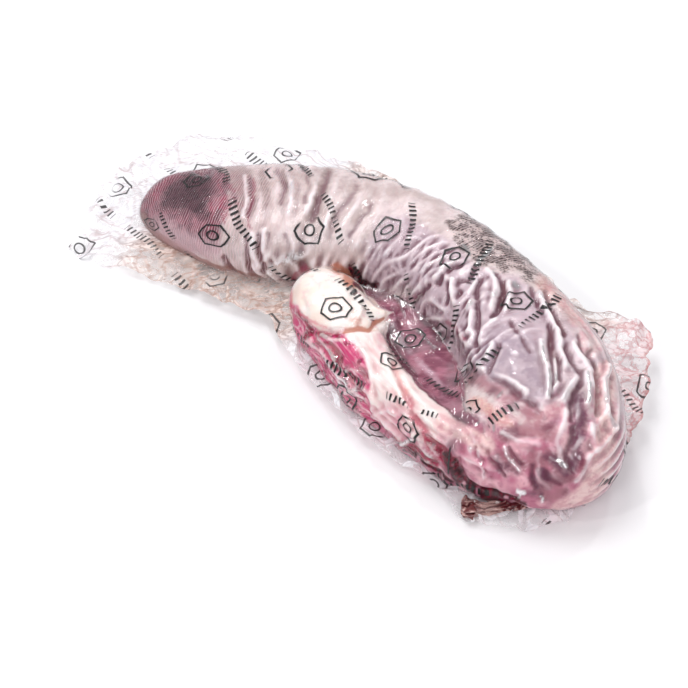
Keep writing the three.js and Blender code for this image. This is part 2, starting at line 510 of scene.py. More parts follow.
# %% [markdown]
# ## Folds
#
# The vacuum shrinks the pouch, and the film gathers the soft meat into folds. On the tongue they run round
# it: broad plain ones near the tip's half, a dense wandering net over the bend, and long folds along the
# outer side of the root. The trimmings have long folds and facets. A fold field counts in folds: it grows
# by one from each ridge to the next, and noise bends it. A bell curve on the distance to the nearest whole
# number then gives thin round ridges with broad valleys, and an envelope of slower noise lets each ridge
# rise and fade along its way.

# %% Fold fields
GATHER_PITCH, GATHER_DEPTH = 15, 2.2
LUMP_PITCH, LUMP_HEIGHT = 34, 1.5
TONGUE_RADIUS, TRIM_RADIUS = 36, 25  # mm, to turn an angle into millimetres round


def turned(angle):
    """The angle in degrees from -90 to 270, whose seam lies underneath: 0 is to the right, 90 on top."""
    return (np.degrees(angle) + 90) % 360 - 90


s, angle, turn = on_tongue["s"], on_tongue["angle"], turned(on_tongue["angle"])
trim_s, trim_turn = on_trim["s"], turned(on_trim["angle"])
girth, trim_girth = np.radians(turn) * TONGUE_RADIUS, np.radians(trim_turn) * TRIM_RADIUS
net, trim_net = flat3(s, girth), flat3(trim_s, trim_girth)  # mm along and mm round


def gathers(t, angle, length):
    """The CAD solid's own cross folds: GATHER_DEPTH * bell(t) * (1 - |sin(pi phase)| - 0.4)."""
    wander = 0.55 * np.sin(2 * angle + 1.3) + 0.35 * np.sin(3 * angle - 9 * t)
    ridge = 1 - np.abs(np.sin(np.pi * (t * length / GATHER_PITCH + wander)))
    return GATHER_DEPTH * np.exp(-(((t - 0.52) / 0.24) ** 2)) * (ridge - 0.4)


def lumps(t, angle, length):
    """The CAD solid's own lumps of the trimmings, in two sizes."""
    phase = 2 * np.pi * t * length / LUMP_PITCH
    return LUMP_HEIGHT * (0.6 * np.sin(phase + 2 * np.sin(angle)) + 0.4 * np.sin(1.7 * phase - 3 * angle))


def ridges(net, along, pitch, bend_by, bend, seed, width=0.23):
    """exp(-(d / width)^2), where d is how far along / pitch + bend * noise lies from a whole number."""
    bent = noise(net, bend_by, seed) + 0.28 * noise(net, bend_by * 0.4, seed + 1)
    folds = along / pitch + bend * bent
    return np.exp(-(((folds - np.round(folds)) / width) ** 2))


def fading(net, wave, seed, low=-0.4, high=0.4):
    """An envelope from 0 to 1 that a ridge rises and fades with."""
    return smooth(noise(net, wave, seed), low, high)


def between(value, rise, fall):
    """1 from the end of the rise to the start of the fall, 0 before and after."""
    return smooth(value, *rise) * (1 - smooth(value, *fall))


inner = 1 - smooth(turn, 62, 112)
plain = ridges(net, s + 0.10 * girth, 12, 40, 0.8, 11, 0.26) * (0.35 + 0.65 * fading(net, 22, 12))
gathered = ridges(net, s + 0.18 * girth, 9, 26, 0.9, 15, 0.18) * (0.4 + 0.6 * fading(net, 14, 16))
fine_net = ridges(net, s + 0.22 * girth, 7.6, 22, 1.15, 21) * fading(net, 15, 22, -0.7, 0.2)
fine_net *= 0.3 + 0.7 * smooth(turn, 15, 50)
wide_net = ridges(net, s - 0.38 * girth, 12.5, 30, 1.3, 31, 0.17) * fading(net, 20, 32, -0.5, 0.3)
links = ridges(net, girth + 0.1 * s, 19, 17, 1.2, 35, 0.12) * fading(net, 13, 36, -0.1, 0.5)
broad = ridges(net, s + 0.5 * girth, 15, 26, 1.7, 41, 0.2) * fading(net, 18, 42, -0.2, 0.5)
long_ones = ridges(net, girth + 0.06 * s, 9.5, 70, 0.9, 51, 0.2) * (0.4 + 0.6 * fading(net, 30, 52))
root_ones = ridges(net, girth + 0.3 * s, 12, 34, 1.1, 61, 0.22) * (0.3 + 0.7 * fading(net, 24, 62))

over_plain = between(s, (70, 110), (165, 200))
over_gathered = between(s, (70, 100), (170, 200)) * (1 - smooth(turn, 4, 38))
over_net = between(s, (158, 192), (292, 322)) * (0.12 + 0.88 * (1 - smooth(turn, 66, 96)))
over_broad = between(s, (255, 295), (330, 350)) * (1 - smooth(turn, 95, 120))
over_long = between(s, (285, 325), (392, 416)) * smooth(turn, 80, 100)
over_root = between(s, (365, 392), (400, 420)) * (0.3 + 0.7 * inner)
over_end = smooth(s, 392, 420)
end_facets = np.abs(noise(skin_points, 17, 63)) + 0.4 * np.abs(noise(skin_points, 7, 64))
tongue_relief = (
    1.0 * over_plain * (plain - 0.35)
    + 1.6 * over_gathered * (gathered - 0.35)
    + 1.9 * over_net * (np.maximum(np.maximum(0.75 * fine_net, wide_net), 0.6 * links) - 0.3)
    + 1.5 * over_broad * (broad - 0.3)
    + (0.7 + 1.3 * smooth(turn, 118, 135)) * over_long * (long_ones - 0.35)
    + 1.1 * over_root * (root_ones - 0.35)
    + 1.6 * over_end * (0.45 - end_facets)
    + 0.45 * gathers(on_tongue["t"], angle, on_tongue["length"])
)
trim_long = ridges(trim_net, trim_girth + 0.22 * trim_s, 9, 34, 0.9, 71, 0.24) * fading(trim_net, 20, 72)
facets = np.abs(noise(trim_net, 11, 73)) + 0.5 * np.abs(noise(trim_net, 5, 74))
trim_low = 1 - smooth(trim_turn, 40, 75)
trim_relief = (
    0.6 * lumps(on_trim["t"], on_trim["angle"], on_trim["length"])
    + (0.5 + 1.2 * trim_low) * (trim_long - 0.3)
    + 1.6 * trim_low * (0.5 - facets)
)
valley_relief = 0.9 * (ridges(skin_points, skin_points @ [0.75, 0.6, 0], 10, 22, 0.8, 81) - 0.35)
fat_relief = 1.2 * noise(skin_points, 13, 91) + 0.4 * noise(skin_points, 5, 92)
print("net covers", int((over_net > 0.5).sum()), "points, long folds", int((over_long > 0.5).sum()))

# %% [markdown]
# ## Folds that can be pointed at
#
# The strongest folds are placed one by one, as they run in the photograph: each is a height, a width and a
# line. A negative height presses a crease in. The relief of a fold is a bell curve across its line. What
# stands out above or lies below its own neighbourhood, `local`, later tells the crests from the grooves.

# %% Single folds
FOLDS = [  # height in mm, width in pixels, line in pixels
    # the bend
    (2.0, 2.6, [(452, 280), (453, 291), (455, 303)]), (-1.4, 2.4, [(447, 283), (448, 294), (446, 303)]),
    (-1.2, 2.2, [(459, 283), (460, 294)]), (-2.4, 3.0, [(502, 284), (503, 294), (500, 304), (493, 314)]),
    (1.8, 2.6, [(507, 284), (509, 296), (506, 308)]),
    (2.2, 3.0, [(487, 271), (494, 280), (495, 294), (490, 306)]), (-1.4, 2.2, [(497, 276), (497, 286)]),
    (-1.8, 2.6, [(479, 280), (475, 292), (477, 306), (478, 318), (475, 329)]),
    (2.0, 2.8, [(472, 302), (471, 316), (469, 330)]),
    (-1.6, 2.4, [(460, 280), (468, 281), (473, 274), (476, 266)]),
    (-1.8, 2.8, [(437, 282), (443, 273), (452, 268), (460, 266)]),
    (1.8, 2.8, [(436, 276), (446, 266), (456, 260)]), (-1.6, 2.4, [(412, 302), (422, 292), (428, 284)]),
    (-1.6, 2.2, [(476, 334), (476, 352)]), (-1.8, 2.6, [(499, 345), (493, 359), (487, 370)]),
    (1.6, 2.8, [(492, 344), (485, 358), (478, 364)]),
    (1.5, 2.4, [(458, 330), (465, 340), (470, 345), (474, 338), (473, 330)]),
    (-1.2, 2.2, [(512, 322), (520, 336), (530, 352)]), (1.4, 3.0, [(494, 318), (484, 328), (480, 340)]),
    # long folds of the outer side
    (2.2, 2.8, [(541, 342), (545, 358), (548, 375), (549, 396)]),
    (-1.6, 1.6, [(551, 344), (552, 360), (552, 396)]),
    (1.8, 2.0, [(554, 350), (556, 365), (556, 380), (554, 392)]),
    (-2.4, 2.8, [(551, 324), (551, 338), (554, 352), (559, 363), (558, 378)]),
    (2.4, 2.8, [(538, 296), (546, 310), (555, 324), (560, 340), (563, 356), (566, 366)]),
    (-2.0, 2.8, [(545, 290), (550, 306), (557, 320), (564, 334)]),
    (-1.4, 2.4, [(531, 288), (535, 300), (543, 309)]),
    (-1.8, 2.8, [(565, 348), (572, 361), (579, 373), (579, 383)]),
    (2.0, 3.2, [(574, 344), (583, 358), (590, 372), (592, 386)]),
    (-1.4, 2.6, [(578, 336), (582, 346), (587, 354)]), (2.2, 2.2, [(586, 374), (588, 390), (588, 404)]),
    (1.8, 3.2, [(578, 377), (571, 387), (564, 400)]),
    (-2.0, 3.4, [(580, 384), (574, 394), (571, 408), (571, 420)]),
    (-2.6, 3.0, [(591, 350), (595, 364), (599, 378), (600, 395), (599, 412)]),
    (2.6, 2.8, [(608, 368), (605, 384), (604, 400), (607, 415), (614, 430)]),
    (-1.4, 3.4, [(611, 380), (612, 395), (614, 410)]),
    # the root's end
    (-1.8, 3.6, [(488, 372), (505, 384), (520, 396), (534, 404)]),
    (1.5, 3.0, [(478, 367), (495, 375), (510, 383), (525, 392)]),
    (-2.0, 3.6, [(574, 428), (572, 442), (566, 456), (570, 470)]),
    (0.8, 3.4, [(566, 412), (562, 428), (557, 444), (561, 462)]),
    (1.4, 3.0, [(590, 425), (594, 436), (596, 450)]), (-1.6, 3.0, [(533, 466), (531, 478), (534, 488)]),
    (0.6, 2.4, [(537, 470), (541, 480), (548, 488)]), (1.5, 3.6, [(503, 432), (520, 443), (540, 446)]),
    (-1.2, 2.6, [(545, 472), (549, 480), (560, 486)]), (1.2, 3.0, [(575, 480), (585, 470), (590, 455)]),
    # the trimmings
    (1.8, 1.8, [(470, 433), (477, 447), (481, 460), (484, 476)]),
    (-1.8, 2.0, [(475, 447), (481, 458), (484, 470)]), (-1.8, 2.4, [(488, 452), (495, 465), (505, 476)]),
    (1.3, 1.3, [(504, 446), (510, 456), (516, 465), (521, 472)]),
    (-1.4, 1.8, [(508, 448), (515, 458), (521, 465)]),
    (1.2, 3.4, [(385, 352), (391, 372), (398, 390), (404, 405), (411, 424)]),
    (1.0, 3.4, [(410, 390), (425, 405), (440, 418), (458, 432), (472, 446)]),
    (-1.0, 3.0, [(394, 366), (401, 386), (409, 402)]),
    (-1.4, 3.6, [(413, 412), (420, 426), (428, 438), (440, 450)]),
    (1.4, 2.4, [(376, 418), (388, 424), (398, 436), (404, 446)]),
    (1.2, 2.0, [(372, 416), (385, 412), (398, 414)]), (1.4, 2.2, [(400, 447), (410, 441), (414, 434)]),
    (1.5, 3.4, [(362, 352), (369, 370), (371, 390), (372, 410)]),
    (-2.0, 3.8, [(375, 425), (395, 443), (418, 459), (438, 474)]),
    (-2.0, 3.0, [(456, 460), (461, 472), (469, 483), (482, 489), (500, 495), (515, 499)]),
    (1.6, 2.0, [(306, 335), (320, 352), (334, 368), (350, 388), (366, 408)]),
    (-1.6, 1.8, [(309, 331), (323, 349), (337, 366), (353, 385)]),
    (1.4, 1.8, [(318, 340), (330, 352), (338, 368)]), (-1.6, 2.6, [(330, 344), (338, 352), (338, 364)]),
    (1.3, 2.2, [(322, 334), (332, 340), (345, 340)]), (1.4, 2.4, [(342, 372), (352, 368), (362, 374)]),
    (-1.4, 2.2, [(345, 380), (355, 378), (362, 386)]), (1.4, 2.2, [(348, 392), (358, 386), (366, 390)]),
    (-1.4, 2.0, [(356, 398), (363, 402), (368, 410)]),
    # the fat
    (-1.8, 3.0, [(329, 330), (350, 329), (370, 330), (384, 320), (395, 312)]),
    (-1.6, 3.4, [(290, 314), (306, 328), (328, 332)]), (-1.0, 2.4, [(352, 300), (356, 310), (351, 320)]),
    (1.2, 3.0, [(360, 300), (362, 312), (356, 322)]), (-1.0, 2.4, [(304, 300), (308, 312), (306, 322)]),
    (1.3, 1.8, [(350, 286), (361, 296), (372, 306), (384, 313)]),
    (-1.2, 1.6, [(348, 291), (358, 301), (368, 310)]), (1.0, 1.8, [(342, 298), (351, 307), (361, 313)]),
    (-0.9, 2.0, [(312, 276), (320, 284), (322, 296)]),
    # the body and the tip
    (-1.6, 2.2, [(259, 236), (259, 252), (263, 272)]), (-1.8, 2.6, [(224, 258), (228, 266), (234, 274)]),
    (-1.0, 2.2, [(246, 238), (247, 252), (249, 270)]), (-1.4, 2.8, [(268, 235), (267, 250), (272, 262)]),
    (1.6, 3.0, [(253, 235), (254, 252), (257, 268)]), (1.6, 3.0, [(264, 232), (266, 250), (274, 262)]),
    (-1.4, 3.8, [(285, 235), (289, 255), (300, 265)]), (-1.2, 4.8, [(318, 200), (305, 226), (300, 250)]),
    (-1.2, 4.4, [(330, 172), (320, 196), (310, 220)]), (0.8, 4.0, [(348, 184), (336, 206), (320, 232)]),
    (-0.7, 3.6, [(357, 188), (343, 206), (330, 222)]), (0.8, 4.4, [(368, 192), (352, 214), (336, 234)]),
    (-0.8, 2.6, [(372, 205), (362, 220), (350, 236)]), (-1.0, 3.4, [(278, 170), (283, 186), (280, 204)]),
    (1.0, 3.4, [(287, 172), (292, 192), (288, 214)]), (-1.2, 3.2, [(304, 168), (309, 184), (306, 202)]),
    (0.9, 3.2, [(244, 176), (248, 196), (242, 218)]), (-1.2, 2.4, [(250, 176), (251, 200), (247, 216)]),
    (-2.6, 4.2, [(198, 170), (205, 170), (208, 172)]),
]
FOLD_STRENGTH = 1.3
VALLEY_RIDGES = [  # these are in the film alone
    (2.6, 2.2, [(441, 330), (448, 342), (455, 355), (460, 370), (463, 385), (468, 400)]),
    (1.6, 2.4, [(401, 304), (401, 312), (403, 322)]),
    (1.5, 3.0, [(397, 336), (408, 350), (420, 362), (430, 372)]),
    (1.0, 1.8, [(418, 332), (428, 342), (436, 350)]),
    (1.6, 3.0, [(384, 301), (396, 304), (410, 312), (420, 320)]),
]


def fold_relief(folds):
    """The sum of height * exp(-(distance / width)^2) over the folds, where the meat is seen."""
    return facing * sum(h * np.exp(-((line_distance(sketch, line) / w) ** 2)) for h, w, line in folds)


single_folds = FOLD_STRENGTH * fold_relief(FOLDS)
valley_ridges = relaxed(fold_relief(VALLEY_RIDGES), 2)
relief = (
    tongue_relief * tongue_part
    + trim_relief * trim_part
    + valley_relief * valley_part
    + fat_relief * fat_part
    + single_folds
)
relief *= smooth(skin_points[:, 2], TABLE_GAP, 5)
relief = relaxed(relief, 1)
local = relief - relaxed(relief, LOCAL_ROUNDS)
print("relief from", round(float(relief.min()), 1), "to", round(float(relief.max()), 1), "mm")

# %% [markdown]
# ## The meat and the film over it
#
# The meat is the skin moved out by its relief. The film is the same skin, but it bridges hollows: where the
# skin after very many rounds of relaxing lies outside the skin, the film follows that. It lies half a
# millimetre off the meat, and its grooves are shallower.

# %% Move the points
FILM_GAP, FILM_GROOVE = 0.55, 0.85  # mm off the meat, and how much of the relief the film follows
FILM_FLOOR = 0.02

skin_normals = normals_of(skin_mesh)
taut = relaxed(skin_points, TAUT_ROUNDS)
bridge = np.maximum(((taut - skin_points) * skin_normals).sum(1), 0)
bridge *= smooth(skin_points[:, 2], 3, 14)
bridge = relaxed(bridge, 6)
crackle = np.abs(noise(skin_points, 9, 101)) + 0.5 * np.abs(noise(skin_points, 4, 102))
film_relief = FILM_GROOVE * relief + FILM_GAP + 0.85 * bridge + valley_ridges
film_relief += 0.5 * smooth(bridge, 0.5, 3) * (0.6 - crackle)

meat_points = skin_points + skin_normals * relief[:, None]
meat_points[:, 2] = np.maximum(meat_points[:, 2], TABLE_GAP)
film_points = skin_points + skin_normals * film_relief[:, None]
film_points[:, 2] = np.maximum(film_points[:, 2], FILM_FLOOR)

meat_mesh, film_mesh = skin_mesh, skin_mesh.copy()
set_points(meat_mesh, placed(meat_points))
set_points(film_mesh, placed(film_points))
print("film bridges hollows by up to", round(float(bridge.max()), 1), "mm")

# %% [markdown]
# ## Colour marks
#
# Each colour of the meat is a mark: a number from 0 to 1 at every point, which the material mixes with.
# Marks come from the place along and round the strands, and from outlines and short lines in pixels of the
# photograph. The net of millimetres along and round each strand is stored too, so that a pattern can be
# stretched along the meat.

# %% Marks on the meat
def above(border, along, turn):
    """How many degrees the turn lies above a border, given as pairs of a place along and a level."""
    return turn - np.interp(along, *zip(*border))


ragged = 5 * noise(wobbled, 9, 110) + 3 * noise(wobbled, 4, 111)
above_rim = above([(0, 60), (8, 44), (14, 26), (32, 6), (55, -6), (74, -12), (120, -20)], s, turn)
RAW_BORDER = [(30, 100), (45, 92), (60, 92), (78, 84), (92, 64), (104, 30), (112, -8), (200, -10)]
above_raw = above(RAW_BORDER, trim_s, trim_turn)
TIP = [
    (136, 204), (148, 180), (185, 160), (216, 160), (229, 182), (231, 202), (225, 216), (220, 232),
    (216, 252), (200, 254), (174, 241), (154, 227), (143, 214),
]
DARK_TIP = [
    (162, 207), (166, 190), (178, 177), (196, 170), (212, 174), (213, 190), (206, 203), (192, 210),
    (176, 208),
]
BODY = [(217, 155), (352, 155), (368, 184), (352, 204), (330, 218), (300, 212), (262, 204), (236, 204)]
PLAIN = [(468, 352), (498, 322), (540, 342), (554, 398), (538, 410), (502, 394), (476, 374)]
RAW_SIDE = [
    (285, 300), (300, 306), (306, 318), (316, 330), (345, 333), (352, 345), (360, 358), (367, 370),
    (371, 385), (371, 413), (384, 436), (340, 425), (290, 350),
]
FAR_PATCH = [
    (447, 221), (475, 215), (510, 228), (536, 258), (535, 268), (528, 280), (521, 268), (505, 270),
    (490, 262), (476, 262), (462, 246), (455, 236),
]
FAR_PINK = [(526, 262), (565, 268), (600, 305), (592, 330), (572, 322), (556, 318), (545, 300), (531, 282)]
ROOT_END = [(452, 436), (475, 440), (500, 440), (545, 440), (565, 455), (590, 480), (560, 530), (470, 500)]
MARKS = {}
unseen_tip = (1 - facing) * (1 - smooth(s + 0.8 * ragged, 56, 80)) * smooth(above_rim, -10, 10)
tip_rim = drawn((0.4, 5, [(222, 176), (234, 190), (238, 204)]))
MARKS["purple"] = tongue_part * np.clip(np.maximum(inside(TIP, 8), unseen_tip) + tip_rim, 0, 1)
MARKS["tongue"] = tongue_part
MARKS["pale_tip"] = drawn((0.9, 20, [(160, 226), (184, 240), (212, 250)]), core=0)
MARKS["dark"] = np.clip(inside(DARK_TIP, 11) + drawn((0.5, 9, [(196, 206), (206, 216)])), 0, 1)
MARKS["wine"] = drawn(
    (0.6, 3.0, [(254, 178), (253, 195), (250, 205), (247, 215), (248, 225), (252, 230)]),
    (0.25, 18, [(234, 176), (242, 190), (242, 208)]),
    (0.5, 3.0, [(217, 182), (225, 196), (221, 208), (225, 224)]), (0.5, 3.0, [(211, 200), (212, 232)]),
    (0.5, 8, [(146, 204), (158, 190), (178, 174), (198, 168)]), (0.5, 6, [(228, 200), (224, 214)]),
    (0.8, 6, [(513, 468), (521, 471), (530, 464), (533, 458)]),
    (1.0, 3, [(475, 446), (481, 458), (484, 471)]), (1.0, 3.4, [(489, 460), (497, 467), (505, 476)]),
    (0.7, 5, [(455, 442), (463, 452), (470, 462)]), (0.9, 4, [(573, 474), (580, 470), (583, 460)]),
    (0.5, 5, [(299, 268), (308, 269)]), (0.8, 5, [(304, 268), (295, 276), (291, 290), (290, 304)]),
    (0.5, 3, [(300, 312), (312, 322), (330, 328)]), (0.6, 4, [(447, 322), (456, 330), (464, 338)]),
    (0.7, 3, [(460, 334), (468, 340)]))
MARKS["beige_rim"] = tongue_part * (1 - smooth(s, 105, 150)) * (1 - smooth(above_rim + 0.4 * ragged, -6, 4))
# Partly the body's own grey-beige and partly painted shade: the wide band is its grey, the thin bands darken
# the hollows of its drapes.
grey_and_drape_shade_bands = drawn(
    (0.5, 8, [(328, 170), (318, 196), (308, 220)]), (0.9, 17, [(236, 172), (244, 188), (246, 210)]),
    (0.6, 6, [(262, 172), (266, 196), (262, 214)]), (0.6, 6, [(284, 172), (288, 190)]),
    (0.5, 6, [(240, 214), (236, 240)]))
unseen_grey = (1 - facing) * between(s, (60, 88), (125, 175)) * smooth(turn + ragged, 74, 104)
MARKS["grey"] = tongue_part * np.clip(0.3 * inside(BODY, 14) + grey_and_drape_shade_bands + unseen_grey, 0, 1)
MARKS["plain"] = tongue_part * inside(PLAIN, 20)
MARKS["dusk"] = fading(skin_points, 7, 112, -0.8, 0.3) * drawn(
    (0.7, 8, [(488, 373), (508, 388), (534, 404)]), (0.6, 9, [(462, 350), (470, 362), (480, 372)]),
    (0.5, 8, [(556, 404), (550, 424)]), (0.5, 9, [(566, 362), (572, 380), (566, 398)]),
    (0.4, 12, [(500, 380), (520, 396)]), core=0)
MARKS["mauve"] = tongue_part * np.clip(over_net + 0.8 * over_broad + 0.6 * over_long, 0, 1)
unseen_patch = (1 - facing) * smooth(turn, 112, 130) * between(s, (205, 222), (262, 285))
MARKS["pigment"] = tongue_part * np.clip(
    inside(FAR_PATCH, 8) + 0.35 * inside(FAR_PINK, 8) + unseen_patch, 0, 1)
at_the_tip = (1 - smooth(s, 80, 130)) * smooth(above_rim, -2, 8)
on_the_back = smooth(turn, 120, 150) * (1 - smooth(s, 290, 330))
MARKS["papillae"] = tongue_part * np.clip(at_the_tip + MARKS["pigment"] + on_the_back, 0, 1)
rose_blots = drawn(
    (0.3, 18, [(545, 290), (565, 300), (580, 325), (592, 345)]),
    (0.7, 13, [(520, 440), (545, 442), (556, 430)]))
MARKS["rose"] = np.clip(tongue_part * smooth(s + 0.3 * girth + 2 * ragged, 380, 430) + rose_blots, 0, 1)
MARKS["deep_rose"] = np.clip(
    trim_part * smooth(trim_s + 0.8 * (70 - trim_turn) + 2 * ragged, 168, 225) + inside(ROOT_END, 9), 0, 1)
MARKS["flesh"] = drawn(
    (0.9, 21, [(534, 462), (560, 460), (566, 476), (545, 482)]), (0.8, 15, [(500, 458), (524, 464)]),
    (0.95, 17, [(508, 434), (530, 429), (550, 433)]), (0.7, 15, [(578, 458), (588, 476)]),
    (0.9, 15, [(474, 378), (494, 388), (516, 402), (540, 418)]),
    (0.8, 13, [(538, 492), (552, 500), (564, 492)]), core=0)
MARKS["bruise"] = drawn(
    (1.0, 7, [(532, 477), (537, 486)]), (1.0, 8, [(541, 470), (547, 478)]),
    (0.6, 10, [(500, 466), (515, 472)]), (0.6, 8, [(495, 455), (500, 470)]),
    (0.95, 12, [(577, 396), (580, 418), (577, 440), (572, 468)]), (0.8, 11, [(548, 458), (564, 470)]),
    (0.6, 7, [(526, 492), (540, 497)]), core=0)
MARKS["pale_end"] = drawn(
    (1.0, 15, [(606, 372), (607, 425), (604, 455), (596, 482), (580, 502), (560, 514)]),
    (0.6, 22, [(560, 286), (582, 310), (594, 340)]),
    (0.95, 13, [(442, 424), (458, 432), (472, 438), (486, 446)]), core=0.4)
MARKS["muscle"] = valley_part
MARKS["shade"] = drawn(
    (1.0, 7, [(387, 333), (395, 349), (405, 364), (413, 378)]),
    (0.8, 8, [(424, 318), (434, 330), (444, 338)]), (0.5, 8, [(452, 334), (462, 346), (468, 356)]),
    (0.8, 4, [(416, 384), (432, 398), (448, 411), (464, 424)]))
MARKS["pale_muscle"] = fading(skin_points, 6, 113, -0.7, 0.4) * drawn(
    (0.7, 7, [(393, 328), (408, 351), (420, 363), (440, 384)]), (0.6, 9, [(482, 421), (492, 428)]),
    (0.6, 5, [(395, 303), (410, 308), (420, 314)]), (0.7, 5, [(455, 357), (470, 362), (484, 364)]), core=0)
MARKS["peach"] = drawn(
    (0.75, 10, [(472, 402), (484, 406), (497, 415), (510, 423)]), (0.3, 12, [(540, 420), (556, 408)]),
    (0.55, 15, [(545, 282), (565, 300), (578, 318)]))
unseen_raw = (1 - facing) * (1 - smooth(above_raw + ragged, -6, 4)) * smooth(trim_s, 10, 30)
MARKS["raw"] = (trim_part + fat_part) * np.clip(inside(RAW_SIDE, 3) + unseen_raw, 0, 1)
MARKS["blush"] = trim_part * drawn(
    (0.6, 22, [(376, 414), (396, 416)]), (1.0, 26, [(384, 430), (398, 438), (404, 448)]),
    (0.8, 16, [(440, 428), (456, 440), (470, 452), (482, 464)]),
    (0.6, 7, [(345, 334), (352, 345), (361, 359), (368, 372)]), (0.4, 10, [(378, 340), (384, 356)]), core=0)
MARKS["salmon"] = drawn((0.7, 8, [(395, 364), (400, 380), (405, 392)]), core=0)
MARKS["stripe"] = drawn(
    (0.5, 9, [(408, 398), (414, 412)]), (0.9, 11, [(416, 418), (421, 428), (429, 441)]),
    (1.0, 12, [(432, 442), (441, 452), (452, 464)]), core=0)
MARKS["crimson"] = drawn(
    (1.0, 11, [(408, 447), (420, 455), (432, 463)]), (0.8, 8, [(428, 438), (434, 446)]),
    (0.9, 8, [(396, 440), (402, 446)]), (1.0, 9, [(436, 446), (444, 454), (450, 464)]),
    (1.0, 8, [(333, 351), (338, 357), (336, 367)]), (1.0, 5, [(302, 313), (307, 324), (309, 335)]),
    (1.0, 5, [(317, 334), (325, 335)]), (0.8, 4, [(336, 332), (340, 338)]),
    (0.7, 5, [(330, 343), (324, 343)]), (0.6, 6, [(345, 372), (350, 376)]),
    (0.6, 6, [(362, 372), (367, 378)]))
MARKS["fat"] = fat_part
MARKS["cream"] = trim_part * (1 - 0.8 * smooth(trim_s + 0.5 * (60 - trim_turn) + 2 * ragged, 150, 220))
# Partly the fat's own tan edge and partly painted shade: on its right side, away from the light, and in the
# crease along its foot.
MARKS["tan_and_painted_shade"] = drawn(
    (1.0, 8, [(337, 267), (345, 274), (351, 285)]),
    (1.0, 3.6, [(345, 330), (358, 328), (370, 330), (377, 324), (384, 317)]),
    (0.5, 6, [(352, 322), (360, 322)]))
black_blots = drawn(
    (1.0, 2.8, [(402, 452), (412, 458), (425, 466), (440, 474), (452, 482)]),
    (1.0, 4.4, [(452, 460), (459, 472), (468, 482), (481, 489), (500, 496), (518, 501)]),
    (0.9, 9, [(470, 488), (488, 495), (506, 501), (522, 506)]),
    (0.8, 8, [(446, 457), (454, 467), (460, 479)]), (0.9, 8, [(354, 272), (359, 283), (372, 288)]),
    (0.9, 4, [(350, 267), (351, 273)]), (0.9, 4, [(352, 290), (355, 293)]), core=0.4)
FAT_FOOT = [(6, 46, 36), (14, 48, 32), (24, 44, 28), (36, 34, 27)]  # millimetres
MARKS["black"] = np.clip(
    fading(skin_points, 4, 114, -1.2, 0.1) * black_blots + 0.4 * near(wobbled, FAT_FOOT, 1.2, 6), 0, 1)
# Painted shade: a brownish dark in the hollows of the body's near side and along the deepest creases.
painted_hollow_shade = between(s, (60, 85), (160, 195)) * (1 - smooth(turn, 0, 42)) * smooth(-relief, -0.1, 0.9)
MARKS["painted_groove_shade"] = np.clip(tongue_part * painted_hollow_shade + drawn(
    (0.8, 4, [(502, 284), (503, 294), (501, 304)]),
    (0.8, 4, [(594, 362), (598, 376), (600, 392), (600, 410)]),
    (0.5, 5, [(551, 330), (552, 345), (558, 362)]), (0.6, 5, [(558, 320), (563, 332)]),
    (0.6, 4, [(260, 244), (260, 256), (263, 272)])), 0, 1)
# Painted shade and painted highlight: the first mark darkens the meat where its relief lies below its
# neighbourhood, and the second lightens it where the relief stands above.
MARKS["painted_crease_shade"] = smooth(-local, 0.0, 0.8)
MARKS["ridge"] = smooth(local, 0.1, 0.9)
print({name: round(float(value.mean()), 3) for name, value in MARKS.items()})


def store(mesh, fields):
    """Keeps numbers from 0 to 1, one for each point, in the mesh under their names."""
    for name, values in fields.items():
        attribute = mesh.attributes.new(name, "FLOAT", "POINT")
        attribute.data.foreach_set("value", np.clip(values, 0, 1).astype(np.float32).ravel())


def store_vector(mesh, name, values):
    attribute = mesh.attributes.new(name, "FLOAT_VECTOR", "POINT")
    attribute.data.foreach_set("vector", values.astype(np.float32).ravel())


course = np.where((trim_part > tongue_part)[:, None], trim_net + [0, 0, 300], net)
course = np.where((valley_part > 0.5)[:, None], skin_points + [0, 0, 900], course)
# Painted highlights: glints, spots and short lines where the film is made whiter, as if a lamp shone in it.
PAINTED_GLINTS = [  # strength, radius in pixels, line in pixels
    (1.0, 2.6, [(462, 372), (470, 366)]), (1.0, 3.4, [(519, 490), (524, 491)]),
    (0.9, 1.8, [(516, 499), (521, 493)]), (0.9, 1.6, [(540, 497), (543, 502)]),
    (0.9, 2.6, [(557, 460), (564, 467)]), (0.8, 1.8, [(476, 425), (479, 423)]),
    (0.8, 1.6, [(495, 424), (495, 429)]), (0.5, 1.6, [(505, 448), (512, 459), (520, 471)]),
    (0.7, 1.8, [(498, 397), (503, 393)]), (0.9, 1.6, [(588, 374), (588, 403)]),
    (0.8, 1.8, [(548, 370), (549, 396)]), (0.7, 1.4, [(555, 372), (554, 392)]),
    (0.45, 2.0, [(608, 371), (604, 400), (608, 418), (613, 428)]), (0.7, 1.6, [(541, 343), (546, 362)]),
    (0.9, 3.0, [(478, 262), (485, 256), (492, 250)]), (0.8, 2.0, [(497, 232), (506, 236), (515, 243)]),
    (0.7, 2.4, [(462, 244), (470, 254)]), (0.8, 4.0, [(514, 284), (518, 287)]),
    (0.7, 3.0, [(403, 444), (412, 438)]), (0.6, 1.6, [(401, 308), (403, 320)]),
    (0.45, 1.6, [(478, 450), (481, 462), (484, 474)]), (0.6, 1.6, [(418, 333), (436, 349)]),
    (0.7, 1.6, [(462, 398), (466, 410)]), (0.6, 1.4, [(318, 341), (330, 353), (337, 366)]),
    (0.6, 1.4, [(322, 356), (340, 376), (360, 400)]),
]
VEILS = [
    (0.9, 10, [(268, 292), (270, 274), (282, 262), (296, 256)]),
    (1.0, 12, [(380, 298), (396, 293), (412, 297)]), (0.7, 8, [(388, 322), (394, 334), (404, 346)]),
    (0.7, 6, [(497, 232), (510, 240), (522, 250)]),
]
